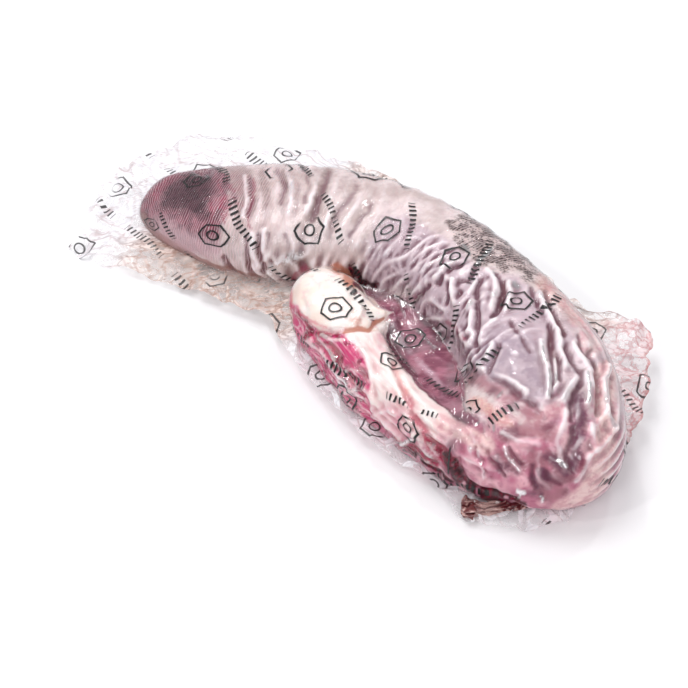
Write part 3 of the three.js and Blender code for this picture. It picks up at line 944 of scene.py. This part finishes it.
# Painted highlights on the film: whiter streaks along its own folds in the valley, along the meat's crests
# and over the facets low on the trimmings.
painted_film_streaks = 0.9 * smooth(valley_ridges, 0.9, 2.2) * fading(skin_points, 9, 120, -0.8, 0.0)
painted_film_streaks += 0.7 * smooth(relief, 0.9, 1.7) * fading(skin_points, 12, 121, 0.0, 0.5)
painted_film_streaks += trim_part * trim_low * smooth(0.5 - facets, 0.2, 0.45) * fading(skin_points, 16, 122, -0.3, 0.3)
veil = drawn(*VEILS, core=0) + 0.35 * valley_part * facing * fading(skin_points, 11, 125, -0.2, 0.5)
store(meat_mesh, MARKS)
store(film_mesh, {
    "lifted": smooth(bridge, 0.4, 5),
    "painted_film_streaks": painted_film_streaks,
    "painted_glint": drawn(*PAINTED_GLINTS),
    "veil": veil,
    "raw": MARKS["raw"],
    "black": MARKS["black"],
})
for mesh in (meat_mesh, film_mesh):
    store_vector(mesh, "course", course)

# %% [markdown]
# ## A printed pattern
#
# Such film often carries a printed pattern. Here it is a plain hexagon round a small ring, and under it a
# row of short strokes, in black, in cells that are shifted by half a cell from row to row. The pattern
# needs a flat picture plane on the film, so every point gets its place in the print in millimetres: the net
# of the strand that it is on, turned a little, and the plan over the valley. Where two of these meet the
# print would smear, so it is left out there.

# %% Places in the print
PRINT_TURN = np.radians(-52)


def print_place(flat, turn, seed):
    """Two columns of millimetres turned by an angle and bent by noise, as film is that has been gathered."""
    x, y = flat[:, 0], flat[:, 1]
    place = flat3(x, y)
    bends = 1.8 * (noises(place, 16, (seed, seed + 1)) + 0.3 * noises(place, 6, (seed + 5, seed + 6)))
    across = x * np.cos(turn) - y * np.sin(turn)
    down = x * np.sin(turn) + y * np.cos(turn)
    return flat3(across + bends[:, 0], down + bends[:, 1])


PRINT_GAPS = [
    (1.0, 44, [(548, 358), (600, 390)]), (1.0, 18, [(478, 438), (488, 464)]),
    (1.0, 26, [(546, 434), (574, 450)]),
]
on_tongue_print = print_place(net * [1, -1, 1], PRINT_TURN, 131)
on_trim_print = print_place(trim_net * [1, -1, 1], PRINT_TURN + 1.2, 141)
in_plan_print = print_place(skin_points, -PRINT_TURN, 151)
print_mm = np.where((trim_part + fat_part > 0.5)[:, None], on_trim_print, on_tongue_print)
print_mm = np.where((valley_part > 0.5)[:, None], in_plan_print, print_mm)
clearly = np.maximum.reduce([trim_part + fat_part, tongue_part, valley_part])
printed = smooth(clearly, 0.85, 0.95) * fading(skin_points, 14, 161, -0.75, -0.5)
printed *= (1 - smooth(s, 400, 412) * tongue_part) * (1 - drawn(*PRINT_GAPS, core=0.8))
store_vector(film_mesh, "print_mm", print_mm)
store(film_mesh, {"printed": printed})
print("printed share of the film", round(float(printed.mean()), 2))

# %% [markdown]
# ## Shader maths
#
# Materials are written as expressions. `Value` wraps a socket, and its operators add Math nodes.
# `Material.node` is the one way to add any other node: its type, its settings, then the values or links of
# its sockets.

# %% Value and Material
class Value:
    """A socket that can be added, multiplied and so on. Each operator adds a Math node."""

    def __init__(self, material, socket):
        self.material, self.socket = material, socket

    def math(self, operation, *others):
        return self.material.node("ShaderNodeMath", {"operation": operation}, [self, *others])

    def __add__(self, other):
        return self.math("ADD", other)

    def __sub__(self, other):
        return self.math("SUBTRACT", other)

    def __rsub__(self, other):
        return self.material.node("ShaderNodeMath", {"operation": "SUBTRACT"}, [other, self])

    def __mul__(self, other):
        return self.math("MULTIPLY", other)

    def __truediv__(self, other):
        return self.math("DIVIDE", other)

    def __pow__(self, other):
        return self.math("POWER", other)

    __radd__, __rmul__ = __add__, __mul__

    def least(self, other):
        return self.math("MINIMUM", other)

    def most(self, other):
        return self.math("MAXIMUM", other)

    def size(self):
        return self.math("ABSOLUTE")

    def whole(self):
        return self.math("FLOOR")

    def fraction(self):
        return self.math("FRACT")

    def step(self, low, high):
        """0 below low, 1 above high, soft between; from high to low it falls instead."""
        settings = {"interpolation_type": "SMOOTHSTEP"}
        inputs = {"Value": self, "From Min": low, "From Max": high}
        return self.material.node("ShaderNodeMapRange", settings, inputs)


class Material:
    """A node material with one shader, filled in by expressions."""

    def __init__(self, name):
        self.material = bpy.data.materials.new(name)
        self.material.use_nodes = True
        self.tree = self.material.node_tree
        self.tree.nodes.clear()

    def node(self, kind, settings=None, inputs=(), output=0):
        added = self.tree.nodes.new(kind)
        for key, value in (settings or {}).items():
            setattr(added, key, value)
        pairs = inputs.items() if isinstance(inputs, dict) else enumerate(inputs)
        for key, value in pairs:
            socket = added.inputs[key]
            if isinstance(value, Value):
                self.tree.links.new(value.socket, socket)
            else:
                socket.default_value = value
        return Value(self, added.outputs[output]) if len(added.outputs) else None

    def place(self):
        return self.node("ShaderNodeTexCoord", output="Object")

    def attribute(self, name, output="Fac"):
        return self.node("ShaderNodeAttribute", {"attribute_name": name}, output=output)

    def parts(self, vector):
        """The x, y and z of a vector."""
        separate = self.node("ShaderNodeSeparateXYZ", None, [vector])
        return [Value(self, output) for output in separate.socket.node.outputs]

    def wave(self, place, detail=2.0, roughness=0.5, scale=1.0):
        """Noise whose waves are 1 / scale long at a place."""
        inputs = {"Vector": place, "Scale": scale, "Detail": detail, "Roughness": roughness}
        return self.node("ShaderNodeTexNoise", None, inputs)

    def noise(self, wave_mm, detail=3.0, roughness=0.5):
        return self.wave(self.place(), detail, roughness, 1 / (wave_mm * MM))

    def cells(self, wave_mm):
        inputs = {"Vector": self.place(), "Scale": 1 / (wave_mm * MM)}
        return self.node("ShaderNodeTexVoronoi", {"feature": "F1"}, inputs, output="Distance")

    def stretched(self, name, along_mm, round_mm):
        """A stored vector of millimetres as a place for a pattern, stretched by its wave along and round."""
        inputs = [self.attribute(name, "Vector"), (1 / along_mm, 1 / round_mm, 1 / round_mm)]
        return self.node("ShaderNodeVectorMath", {"operation": "MULTIPLY"}, inputs)

    def lines(self, place, sharp, detail=2.0):
        """Thin wandering lines where a noise crosses its middle: 1 on a line, falling to 0 beside it."""
        return (1 - (self.wave(place, detail) - 0.5).size() * sharp).most(0)

    def mix(self, factor, low, high):
        """A colour between two colours."""
        return self.node("ShaderNodeMix", {"data_type": "RGBA"}, {0: factor, 6: low, 7: high}, output=2)

    def blotched(self, pattern, low, high, first, second):
        """The first paint where the pattern is below low, the second where it is above high."""
        return self.mix(pattern.step(low, high), paint(*first), paint(*second))

    def painted(self, colour, layers):
        """The colour with layers laid over it in turn, each a factor and then a paint or a colour."""
        for factor, over in layers:
            colour = self.mix(factor, colour, over if isinstance(over, Value) else paint(*over))
        return colour

    def gloss(self, colour, roughness, normal, **others):
        """The standard surface. Any other socket is named with underscores for its blanks."""
        sockets = {name.replace("_", " "): value for name, value in others.items()}
        inputs = {"Base Color": colour, "Roughness": roughness, "Normal": normal, **sockets}
        return self.node("ShaderNodeBsdfPrincipled", None, inputs)

    def through(self, share, film):
        """The film by its share and a clear view through it by the rest."""
        clear = self.node("ShaderNodeBsdfTransparent", None, {"Color": (1, 1, 1, 1)})
        return self.node("ShaderNodeMixShader", None, [share, clear, film])

    def bump(self, height, distance_mm, strength=1.0):
        inputs = {"Height": height, "Distance": distance_mm * MM, "Strength": strength}
        return self.node("ShaderNodeBump", None, inputs, output="Normal")

    def finish(self, shader):
        self.node("ShaderNodeOutputMaterial", None, {"Surface": shader})
        return self.material


def paint(red, green, blue):
    """A colour given as it looks on screen, 0 to 255, as the linear numbers that a shader takes."""
    screen = np.array([red, green, blue]) / 255
    linear = np.where(screen <= 0.04045, screen / 12.92, ((screen + 0.055) / 1.055) ** 2.4)
    return (*linear.tolist(), 1.0)


# %% [markdown]
# ## Meat
#
# Raw tongue is pale grey-pink and wine purple at the tip. Its folds get painted shade in their grooves and
# painted highlights on their crests. The colour starts from a mottled ground, and each mark pulls it towards
# its own paint. Marks are roughened with fine noise first, so that their edges look torn and veined and not
# sprayed. Light enters meat and comes out a little further on, so the shader has subsurface scattering.
# Papillae are small cells in the bump.

# %% Meat material
PAPILLA_PITCH = 1.75  # mm from one row of papillae to the next


def meat_material():
    m = Material("raw_tongue")
    fine = m.noise(2.4, 3.0, 0.6)
    broad = m.noise(19, 2.0, 0.55)
    veins = m.noise(7, 4.0, 0.65)
    patches = m.noise(10, 1.0, 0.4)
    strands = m.wave(m.stretched("course", 16, 3.2), 3.0, 0.6)

    def torn(name, amount=0.5, low=0.15, high=0.85):
        """The mark with noise added in proportion to how unsure it is, then steepened."""
        mark = m.attribute(name)
        unsure = mark * (1 - mark) * 4
        mark = mark + unsure * (veins - 0.5) * (2 * amount) + unsure * (fine - 0.5) * amount
        return mark.step(low, high)

    # The crease mark lays painted shade into the grooves of the folds, and the ridge mark lays painted
    # highlight on their crests.
    ridge, painted_crease_shade, raw = m.attribute("ridge"), m.attribute("painted_crease_shade"), m.attribute("raw")
    muscle, cream, deep_rose = m.attribute("muscle"), m.attribute("cream"), m.attribute("deep_rose")
    hairs = m.lines(m.stretched("course", 6, 14), 16, 3.0)
    hairs = hairs * m.attribute("tongue") * (1 - m.attribute("plain"))
    spots = m.cells(1.7).step(0.6, 0.2)
    dots = (0.1 + 0.6 * veins.step(0.44, 0.54) + 0.5 * spots).least(1)
    pigment = torn("pigment", 0.9, 0.05, 0.75)
    surface = m.attribute("tongue") * (1 - m.attribute("purple"))
    on_the_tongue = [
        (veins.step(0.5, 0.75) * 0.35, (192, 166, 166)),
        (torn("mauve") * 0.6, (198, 176, 190)),
        (torn("plain", 0.3, 0, 1) * 0.85, m.blotched(veins, 0.4, 0.6, (170, 150, 164), (196, 178, 188))),
        (torn("grey", 0.5, 0.05, 0.95) * 0.8, m.blotched(fine, 0.4, 0.6, (146, 124, 122), (172, 152, 150))),
        (torn("rose") * 0.8, m.blotched(veins, 0.4, 0.6, (236, 190, 198), (206, 140, 160))),
        (hairs * 0.1, (150, 112, 124)),
        # Painted shade in the grooves and painted highlight on the crests.
        (painted_crease_shade * (0.45 + 0.45 * m.attribute("mauve")), (120, 80, 96)),
        (ridge * 0.75, (252, 238, 242)),
        (torn("dusk", 0.4, 0, 1) * 0.85, (128, 84, 100)),
        # Painted shade in the hollows and along the deepest creases.
        (m.attribute("painted_groove_shade") * 0.8, (120, 76, 74)),
        (torn("beige_rim") * 0.85, (158, 116, 110)),
        (torn("purple", 0.5, 0.05, 0.95) * 0.94, m.blotched(veins, 0.42, 0.6, (98, 42, 62), (156, 98, 112))),
        (torn("pale_tip", 0.4, 0, 1) * 0.8, (212, 182, 188)),
        (torn("wine", 0.6, 0, 1) * 0.85, (150, 44, 76)),
        (torn("dark", 1.0, 0.0, 0.9) * (0.6 + 0.36 * veins.step(0.42, 0.55)), (48, 4, 26)),
        (pigment * (1 - veins.step(0.46, 0.34)) * 0.4, (226, 206, 200)),
        (pigment * dots, (54, 38, 34)),
    ]
    in_the_valley = [
        (torn("muscle", 0.3) * 0.96, m.blotched(patches, 0.4, 0.6, (136, 74, 96), (178, 118, 136))),
        (muscle * strands.step(0.5, 0.7) * 0.4, (214, 156, 174)),
        (muscle * strands.step(0.46, 0.3) * 0.4, (112, 58, 76)),
        (torn("pale_muscle", 0.6, 0, 1) * 0.75, (214, 188, 198)),
        (torn("shade", 0.5, 0, 1) * 0.8, (88, 44, 58)),
    ]
    flushed = m.blotched(patches, 0.38, 0.6, (238, 190, 200), (196, 122, 146))
    flushed = m.mix(veins.step(0.54, 0.66) * 0.45, flushed, paint(158, 78, 108))
    greased = broad.step(0.4, 0.65) * 0.55 + strands.step(0.42, 0.6) * 0.3
    greased = m.mix(greased, paint(255, 247, 243), paint(238, 198, 200))
    blushing = m.blotched(patches, 0.4, 0.6, (244, 200, 210), (224, 142, 168))
    fleshy = m.blotched(patches, 0.4, 0.6, (124, 70, 86), (176, 124, 134))
    fatty = m.blotched(broad, 0.42, 0.62, (255, 247, 243), (253, 236, 227))
    on_the_trimmings = [
        (torn("peach", 0.5, 0, 1) * 0.8, m.blotched(fine, 0.4, 0.6, (236, 196, 184), (224, 168, 166))),
        (torn("cream", 0.4) * 0.9, greased),
        (torn("deep_rose", 0.6, 0.05, 0.95) * 0.9, flushed),
        (torn("blush", 0.6, 0.05, 0.95) * 0.8, blushing),
        (torn("flesh", 0.6, 0.05, 0.95) * 0.8, fleshy),
        (torn("pale_end", 0.6, 0, 1) * 0.85, m.blotched(veins, 0.4, 0.6, (252, 226, 222), (226, 184, 188))),
        # Painted shade in the grooves and painted highlight on the crests of the rose part of the trimmings.
        (deep_rose * painted_crease_shade * 0.75, (126, 52, 80)),
        (deep_rose * ridge * 0.35, (248, 204, 216)),
        (torn("bruise", 0.7, 0.0, 1.0) * 0.85, (96, 46, 72)),
        (torn("raw", 0.35) * 0.95, (212, 84, 132)),
        (raw * strands.step(0.5, 0.62) * 0.8, (250, 196, 210)),
        (raw * veins.step(0.54, 0.62) * 0.85, (124, 14, 56)),
        (torn("salmon", 0.5, 0.1, 1.0) * 0.65, (226, 146, 138)),
        (torn("stripe", 0.6, 0.1, 0.9) * 0.85, m.blotched(fine, 0.42, 0.6, (214, 84, 116), (176, 44, 80))),
        (torn("crimson", 0.7, 0.05, 0.9) * 0.92, m.blotched(fine, 0.44, 0.6, (112, 0, 36), (172, 30, 76))),
        (torn("fat", 0.4) * (1 - raw) * 0.97, fatty),
        (m.attribute("fat") * veins.step(0.54, 0.68) * 0.6, (244, 202, 206)),
        # The fat's tan edge with painted shade on its right side and in its crease.
        (torn("tan_and_painted_shade", 0.7, 0, 1) * 0.85, (196, 128, 106)),
        (torn("wine", 0.6, 0, 1) * m.attribute("fat") * 0.8, (214, 96, 124)),
    ]
    # Painted shade in the grooves and painted highlights on the crests of the tongue, the cream fat and the
    # valley; then the black blots.
    in_every_fold = [
        (surface * painted_crease_shade * 0.5, (112, 70, 82)),
        (surface * ridge * (0.7 - 0.4 * deep_rose), (255, 248, 249)),
        (cream * painted_crease_shade * 0.65, (206, 150, 156)),
        (cream * ridge * 0.6, (255, 250, 246)),
        (muscle * ridge * 0.5, (230, 192, 204)),
        (torn("black", 0.6) * 0.95, m.blotched(fine, 0.45, 0.65, (44, 0, 10), (120, 18, 44))),
    ]
    ground = m.blotched(broad, 0.35, 0.65, (214, 198, 196), (238, 224, 224))
    colour = m.painted(ground, on_the_tongue + in_the_valley + on_the_trimmings + in_every_fold)
    colour = m.node("ShaderNodeHueSaturation", None, {"Saturation": 1.1, "Color": colour})
    papillae = m.attribute("papillae")
    along, _, _ = m.parts(m.attribute("course", "Vector"))
    across_rows = along / PAPILLA_PITCH + 1.6 * m.wave(m.stretched("course", 9, 9), 1.0)
    rows = (across_rows.fraction() - 0.5).size() * 2
    pale_rows = papillae * rows.step(0.5, 0.95) * (0.56 - 0.42 * m.attribute("dark"))
    colour = m.mix(pale_rows, colour, paint(238, 210, 216))
    grain = rows * papillae * 0.5 + fine * 0.35 + strands * raw * 0.8 - hairs * 0.25
    shader = m.gloss(
        colour, 0.42 + 0.2 * (fine - 0.5), m.bump(grain, 0.6, 0.9),
        Subsurface_Weight=0.12, Subsurface_Radius=(1.0, 0.35, 0.25), Subsurface_Scale=2 * MM,
        Specular_IOR_Level=0.25, Coat_Weight=0.1, Coat_Roughness=0.12,
    )
    return m.finish(shader)


def dress(name, mesh, material):
    """Makes the mesh a finished piece: it rides on the pack's one body and replaces the pack's one solid."""
    piece = add_piece(name, mesh)
    mesh.materials.clear()
    mesh.materials.append(material)
    mesh.shade_smooth()
    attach(piece, "root")
    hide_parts("packed_tongue")
    print(name, len(mesh.polygons), "faces, material", len(material.node_tree.nodes), "nodes")


dress("tongue_meat", meat_mesh, meat_material())

# %% [markdown]
# ## Film
#
# The pouch is clear, so most light goes straight through it, and what shows is its gloss: bright thin lines
# on every ridge. The shader mixes a transparent surface with a mirror-like one by how steeply it is seen.
# Painted highlights raise the mirror's share: streaks along the ridges, thin lines over the raw side and
# placed glints, which stay where they are whatever the lamps do. Where the film is drawn into a fold of its
# own it is doubled, and its whiteness there is a painted highlight. The printed pattern lies on top, as black
# ink that lets no light through.

# %% Film material
PRINT_ALONG, PRINT_DOWN = 56, 50  # mm from one printed ring to the next, and from row to row
HEXAGON, RING_RADIUS, LINE_WIDTH = 8.0, 3.3, 1.2  # mm from its middle to a side, radius, width
STROKE_PITCH, ROW_HALF, STROKE_HALF = 3.6, 19.6, 2.35  # mm between strokes, half a row, half a stroke
HEXAGON_UP, STROKES_DOWN = 6, 11  # mm from the middle of the cell


def printed_ink(m):
    """1 on the ink: where |the hexagon's distance, most(0.866 |x| + 0.5 |y|, |y|), - its size| or |the
    distance from its middle - the ring's radius| is less than half a line, or in a row of strokes."""
    along, down, _ = m.parts(m.attribute("print_mm", "Vector"))
    row = (down / PRINT_DOWN).whole()
    x = ((along / PRINT_ALONG + row * 0.5).fraction() - 0.5) * PRINT_ALONG
    y = ((down / PRINT_DOWN).fraction() - 0.5) * PRINT_DOWN
    up = y - HEXAGON_UP
    hexagon = ((x.size() * 0.866 + up.size() * 0.5).most(up.size()) - HEXAGON).size()
    ring = ((x * x + up * up) ** 0.5 - RING_RADIUS).size()
    outline = hexagon.least(ring).step(0.6 * LINE_WIDTH, 0.4 * LINE_WIDTH)
    stroke = ((x / STROKE_PITCH).fraction() - 0.5).size().step(0.24, 0.17)
    in_row = x.size().step(ROW_HALF + 0.2, ROW_HALF - 0.2)
    in_height = (y + STROKES_DOWN).size().step(STROKE_HALF + 0.15, STROKE_HALF - 0.15)
    return outline.most(stroke * in_row * in_height)


def printed_over(m, seen, density):
    """The finished material: ink over what is seen of the film, where the film is printed."""
    ink = m.node("ShaderNodeBsdfPrincipled", None, {"Base Color": paint(28, 24, 26), "Roughness": 0.35})
    inked = printed_ink(m) * m.attribute("printed") * density
    return m.finish(m.node("ShaderNodeMixShader", None, [inked, seen, ink]))


FILM_IOR = 1.45


def film_material():
    m = Material("clear_film")
    glancing = m.node("ShaderNodeFresnel", None, {"IOR": FILM_IOR})
    # The film's share is its own haze where it is lifted or veiled, plus painted highlights: the streaks, the
    # glints and thin lines over the raw side.
    haze_and_painted_gloss = 0.005
    for name, whiteness in {"lifted": 0.03, "painted_film_streaks": 0.4, "veil": 0.5, "painted_glint": 0.8}.items():
        haze_and_painted_gloss = haze_and_painted_gloss + m.attribute(name) * whiteness
    # Painted highlight: thin bright lines over the raw side.
    haze_and_painted_gloss = haze_and_painted_gloss + m.lines(m.stretched("course", 16, 3.4), 22, 1.0) * m.attribute("raw") * 0.3
    share = (haze_and_painted_gloss + glancing * 0.5).least(0.92) * (1 - m.attribute("black") * 0.75)
    crinkle = m.wave(m.stretched("course", 3.5, 9), 2.0, 0.55)
    crinkle = crinkle - 0.5 * m.lines(m.stretched("course", 5, 22), 16, 3.0)
    film = m.gloss((1.0, 0.99, 1.0, 1), 0.09, m.bump(crinkle, 0.7, 0.65), Metallic=1.0)
    return printed_over(m, m.through(share, film), 0.97)


dress("pouch_film", film_mesh, film_material())

# %% [markdown]
# ## The welded margin
#
# Past the meat the two sheets of film lie on each other, and crumple. A crumpled sheet is made of flat
# facets that meet at sharp creases, which a sum of folded straight waves gives: each wave is a zigzag in
# its own direction, and the zigzags cross. The film is nearly clear there, and what shows is its creases,
# its edge and a little meat juice that has run between the sheets.

# %% Margin grid
MARGIN_EDGE = np.array([  # x, y, z anticlockwise from the near left corner
    [-178, 108, 4], [-140, 88, 5], [-106, 73, 7], [-72, 53, 9], [-49, 42, 10], [-42, 24, 10], [-28, -4, 9],
    [-3, -42, 8], [27, -77, 8], [54, -99, 7], [68, -120, 3], [96, -131, 4], [124, -133, 7], [153, -108, 12],
    [178, -64, 15], [190, -16, 18], [190, 20, 21], [152, 32, 26], [122, 67, 30], [91, 101, 31], [58, 130, 31],
    [25, 156, 30], [-8, 178, 27], [-45, 194, 24], [-84, 208, 20], [-122, 202, 16], [-152, 182, 12],
    [-172, 146, 7],
], float)
FILM_HUB = np.array([40, 60, 30.0])  # the sheet spreads from here, inside the meat
MARGIN_COLUMNS, MARGIN_ROWS = 1100, 90
CREASE_WIDTH = 1.6  # mm


def zigzag(value):
    """A folded wave: 0 at whole numbers, 1 half way between."""
    return 1 - np.abs(2 * (value - np.floor(value)) - 1)


def crumple(points, seed, waves, longest, shortest):
    """The mean of zigzags in random directions, each bent a little, with shorter ones lower; and, from 0 to
    1, how near the nearest of their creases is."""
    random = np.random.default_rng(seed)
    x, y = points[..., 0], points[..., 1]
    flat = flat3(x, y)
    bent = noise(flat, 30, seed + 1) + 0.3 * noise(flat, 12, seed + 2)
    total, weight, creased = 0, 0, 0
    for k in range(waves):
        turn = random.uniform(0, np.pi)
        pitch = longest * (shortest / longest) ** (k / (waves - 1))
        fold = zigzag((x * np.cos(turn) + y * np.sin(turn)) / pitch + random.uniform() + 0.7 * bent)
        total = total + pitch * fold
        weight += pitch
        width = CREASE_WIDTH / pitch
        sharp = np.maximum(smooth(fold, 1 - width, 1), 1 - smooth(fold, 0, width))
        creased = np.maximum(creased, sharp * fading(flat, 20, seed + 10 + k))
    return 2 * total / weight - 1, creased


def margin_grid():
    """Point = hub + (edge - hub) * reach, with reach from 0.4, inside the meat, to 1 at the edge, and the
    height bent by the crumple, which grows outwards."""
    reach, share = spread(MARGIN_ROWS, MARGIN_COLUMNS, 0.4, 1)
    edge = through(MARGIN_EDGE, share, closed=True)
    torn_edge = 0.018 * noise(edge, 14, 201) + 0.012 * noise(edge, 6, 202) + 0.006 * noise(edge, 3, 203)
    ragged = 1 + reach**8 * torn_edge
    point = FILM_HUB + (edge - FILM_HUB) * (reach * ragged)[..., None]
    fold, creased = crumple(point, 301, 6, 42.0, 13.0)
    lift = smooth(reach, 0.5, 0.95) * (3.2 + 4.0 * smooth(reach, 0.8, 1)) * fold
    point[..., 2] = np.maximum(point[..., 2] + lift, 0.4)
    return point, reach, creased


margin_points, margin_reach, margin_creases = margin_grid()
margin_mesh = mesh_of("pouch_margin", placed(margin_points), tube_faces(MARGIN_ROWS, MARGIN_COLUMNS))
margin_flat = margin_points.reshape(-1, 3)
print("margin", len(margin_mesh.polygons), "faces, creased", round(float(margin_creases.mean()), 2))

# %% Margin material
def margin_material():
    m = Material("welded_film")
    glancing = m.node("ShaderNodeFresnel", None, {"IOR": FILM_IOR})
    creases, rim, juice, warm = (m.attribute(name) for name in ("creases", "rim", "juice", "warm"))
    threads = m.lines(m.stretched("course", 7, 7), 16, 3.0) * juice
    wrinkles = m.lines(m.stretched("course", 14, 6), 14, 3.0) * (warm + 0.35).least(1)
    cloud = m.noise(14, 2.0, 0.5).step(0.4, 0.65)
    share = 0.07 + glancing * 1.1 + creases * (0.22 + 0.3 * warm) + rim * (0.12 + 0.3 * juice)
    share = share + threads * 0.45 + wrinkles * 0.4 + (juice * 1.1 + warm * 1.2) * cloud * 0.24
    colour = m.mix(warm * 0.7, paint(250, 248, 252), paint(240, 212, 196))
    colour = m.painted(colour, [
        ((creases * 0.6).most(rim * juice), (168, 128, 126)),
        (juice * 0.5, (240, 196, 194)),
        (wrinkles * 0.8, m.mix(warm, paint(170, 164, 172), paint(158, 116, 98))),
        (threads * 0.7, (186, 92, 98)),
    ])
    film = m.gloss(colour, 0.1, m.bump(m.noise(6, 3.0, 0.6), 0.8, 0.6))
    return printed_over(m, m.through(share.least(0.9), film), 0.9)


RIGHT_END = [(184, -60, 15), (186, -20, 18), (184, 10, 20)]  # lines in millimetres
BELOW_THE_TIP = [(-120, 92, 6), (-80, 60, 8), (-50, 45, 10)]
FAR_SIDE = [(160, 30, 26), (90, 98, 31), (20, 155, 30)]

warmth = near(margin_flat, BELOW_THE_TIP, 10, 46) + 0.8 * near(margin_flat, FAR_SIDE, 6, 30)
store(margin_mesh, {
    "creases": margin_creases * smooth(margin_reach, 0.5, 0.8),
    "rim": smooth(margin_reach, 0.985, 0.994),
    "juice": near(margin_flat, RIGHT_END, 8, 34),
    "warm": warmth,
    "printed": fading(margin_flat, 16, 162, -0.6, -0.3),
})
store_vector(margin_mesh, "course", margin_flat)
store_vector(margin_mesh, "print_mm", print_place(margin_flat, -PRINT_TURN, 171))
dress("pouch_margin", margin_mesh, margin_material())

# %% [markdown]
# ## The gathered tail
#
# At the near corner the spare film is drawn together into a short pleated tail, with dark meat juice caught
# in it. It is a tube along a short course whose radius has pleats, and which flares a little at its end.

# %% Tail of the pouch
TAIL_COURSE = np.array([[112, -112, 12], [100, -117, 9], [89, -119, 6], [79, -119, 5], [69, -118, 5]], float)
TAIL_RADII = np.array([6, 4.2, 3.2, 4.6, 6.2])


def tail_grid(rows=60, columns=120):
    """Point = course(t) + radius(t) * (1 + 0.34 cos(7 angle + 2.4 t) + 0.16 cos(13 angle - 9 t)) round it,
    0.8 as high as wide, and then crumpled by noise. Drawing it in at both ends closes the tube."""
    t, share = spread(rows, columns)
    angle = 2 * np.pi * share
    middle, ahead = through(TAIL_COURSE, t), heading(TAIL_COURSE, t)
    pleats = 1 + 0.34 * np.cos(7 * angle + 2.4 * t) + 0.16 * np.cos(13 * angle - 9 * t)
    closing = np.sqrt(1 - ((t - 0.88) / 0.12).clip(0, 1) ** 2) * np.where(t == 0, 0.02, 1)
    radius = through(TAIL_RADII[:, None], t)[..., 0] * pleats * closing
    x = middle[..., 0] + ahead[..., 1] * radius * np.cos(angle)
    y = middle[..., 1] - ahead[..., 0] * radius * np.cos(angle)
    z = middle[..., 2] + 0.8 * radius * np.sin(angle)
    point = np.stack([x, y, z], axis=-1)
    point = point + noises(point, 4, (211, 212, 213)) * (0.6 + 1.6 * smooth(t, 0.5, 0.8))[..., None]
    point[..., 2] = np.maximum(point[..., 2], 0.2)
    return point, t, pleats


def tail_material():
    m = Material("tail_film")
    juice = m.attribute("juice")
    blots = m.noise(4.5, 3.0, 0.6).step(0.34, 0.5)
    colour = m.mix(m.attribute("groove") * 0.7, paint(222, 180, 172), paint(110, 44, 44))
    colour = m.mix(juice * blots, colour, paint(92, 6, 18))
    film = m.gloss(colour, 0.14, m.bump(m.noise(2.5, 3.0, 0.6), 0.5, 0.6), Coat_Weight=0.4)
    return m.finish(m.through(0.45 + juice * 0.5, film))


tail_points, tail_t, tail_pleats = tail_grid()
tail_mesh = mesh_of("pouch_tail", placed(tail_points), tube_faces(*tail_t.shape))
store(tail_mesh, {
    "juice": between(tail_t, (0.0, 0.1), (0.35, 0.6)) + 0.9 * smooth(tail_t, 0.6, 0.75),
    "groove": 1 - smooth(tail_pleats, 0.75, 1.0),
})
dress("pouch_tail", welded(tail_mesh), tail_material())

# %% [markdown]
# ## Table and light
#
# A white table and a bright, even studio: a large soft light above, a smaller one that draws the thin
# highlights on the film, and a pale surround.

# %% Table and lights
TABLE_HALF = 6.0  # metres
WORLD_BRIGHTNESS = 0.46
LIGHTS = {  # where it is, what it faces, its diameter in metres and its power in watts
    "overhead": ((-0.35, 0.4, 1.6), (0, 0, 0), 0.9, 11.3),
    "front": ((-0.7, -1.4, 1.2), (0, 0, 0), 0.7, 7.5),
    "right": ((1.3, -0.7, 0.9), (0.1, -0.05, 0), 0.8, 3.5),
    "sparkle back": ((0.6, 0.8, 1.3), (0, 0, 0), 0.08, 2.2),
    "sparkle near left": ((-0.8, -0.5, 1.2), (0, 0, 0), 0.08, 2.2),
    "sparkle near right": ((0.5, -1.0, 1.3), (0, 0, 0), 0.08, 2.2),
    "sparkle top": ((-0.2, 0.9, 1.2), (0, 0, 0), 0.08, 2.2),
}


def add_table():
    corners = TABLE_HALF * np.array([[-1, -1, 0], [1, -1, 0], [1, 1, 0], [-1, 1, 0]], float)
    mesh = mesh_of("table", corners, np.array([[0, 1, 2, 3]]))
    m = Material("white_table")
    colour = m.mix(m.noise(400, 2.0), (0.91, 0.905, 0.92, 1), (0.93, 0.925, 0.935, 1))
    shader = m.node("ShaderNodeBsdfPrincipled", None, {"Base Color": colour, "Roughness": 0.6})
    mesh.materials.append(m.finish(shader))
    add_piece("table", mesh)


def add_light(name, place, target, size, power):
    data = bpy.data.lights.new(name, "AREA")
    data.shape, data.size, data.energy = "DISK", size, power
    light = bpy.data.objects.new(name, data)
    light.location = place
    light.rotation_euler = (Vector(target) - Vector(place)).to_track_quat("-Z", "Y").to_euler()
    bpy.context.scene.collection.objects.link(light)


add_table()
for name, settings in LIGHTS.items():
    add_light(name, *settings)
world = bpy.data.worlds.new("studio")
world.use_nodes = True
background = world.node_tree.nodes["Background"]
background.inputs["Color"].default_value = (0.97, 0.97, 1.0, 1)
background.inputs["Strength"].default_value = WORLD_BRIGHTNESS
bpy.context.scene.world = world
bpy.context.scene.view_settings.view_transform = "Standard"
print("lights", len(LIGHTS))
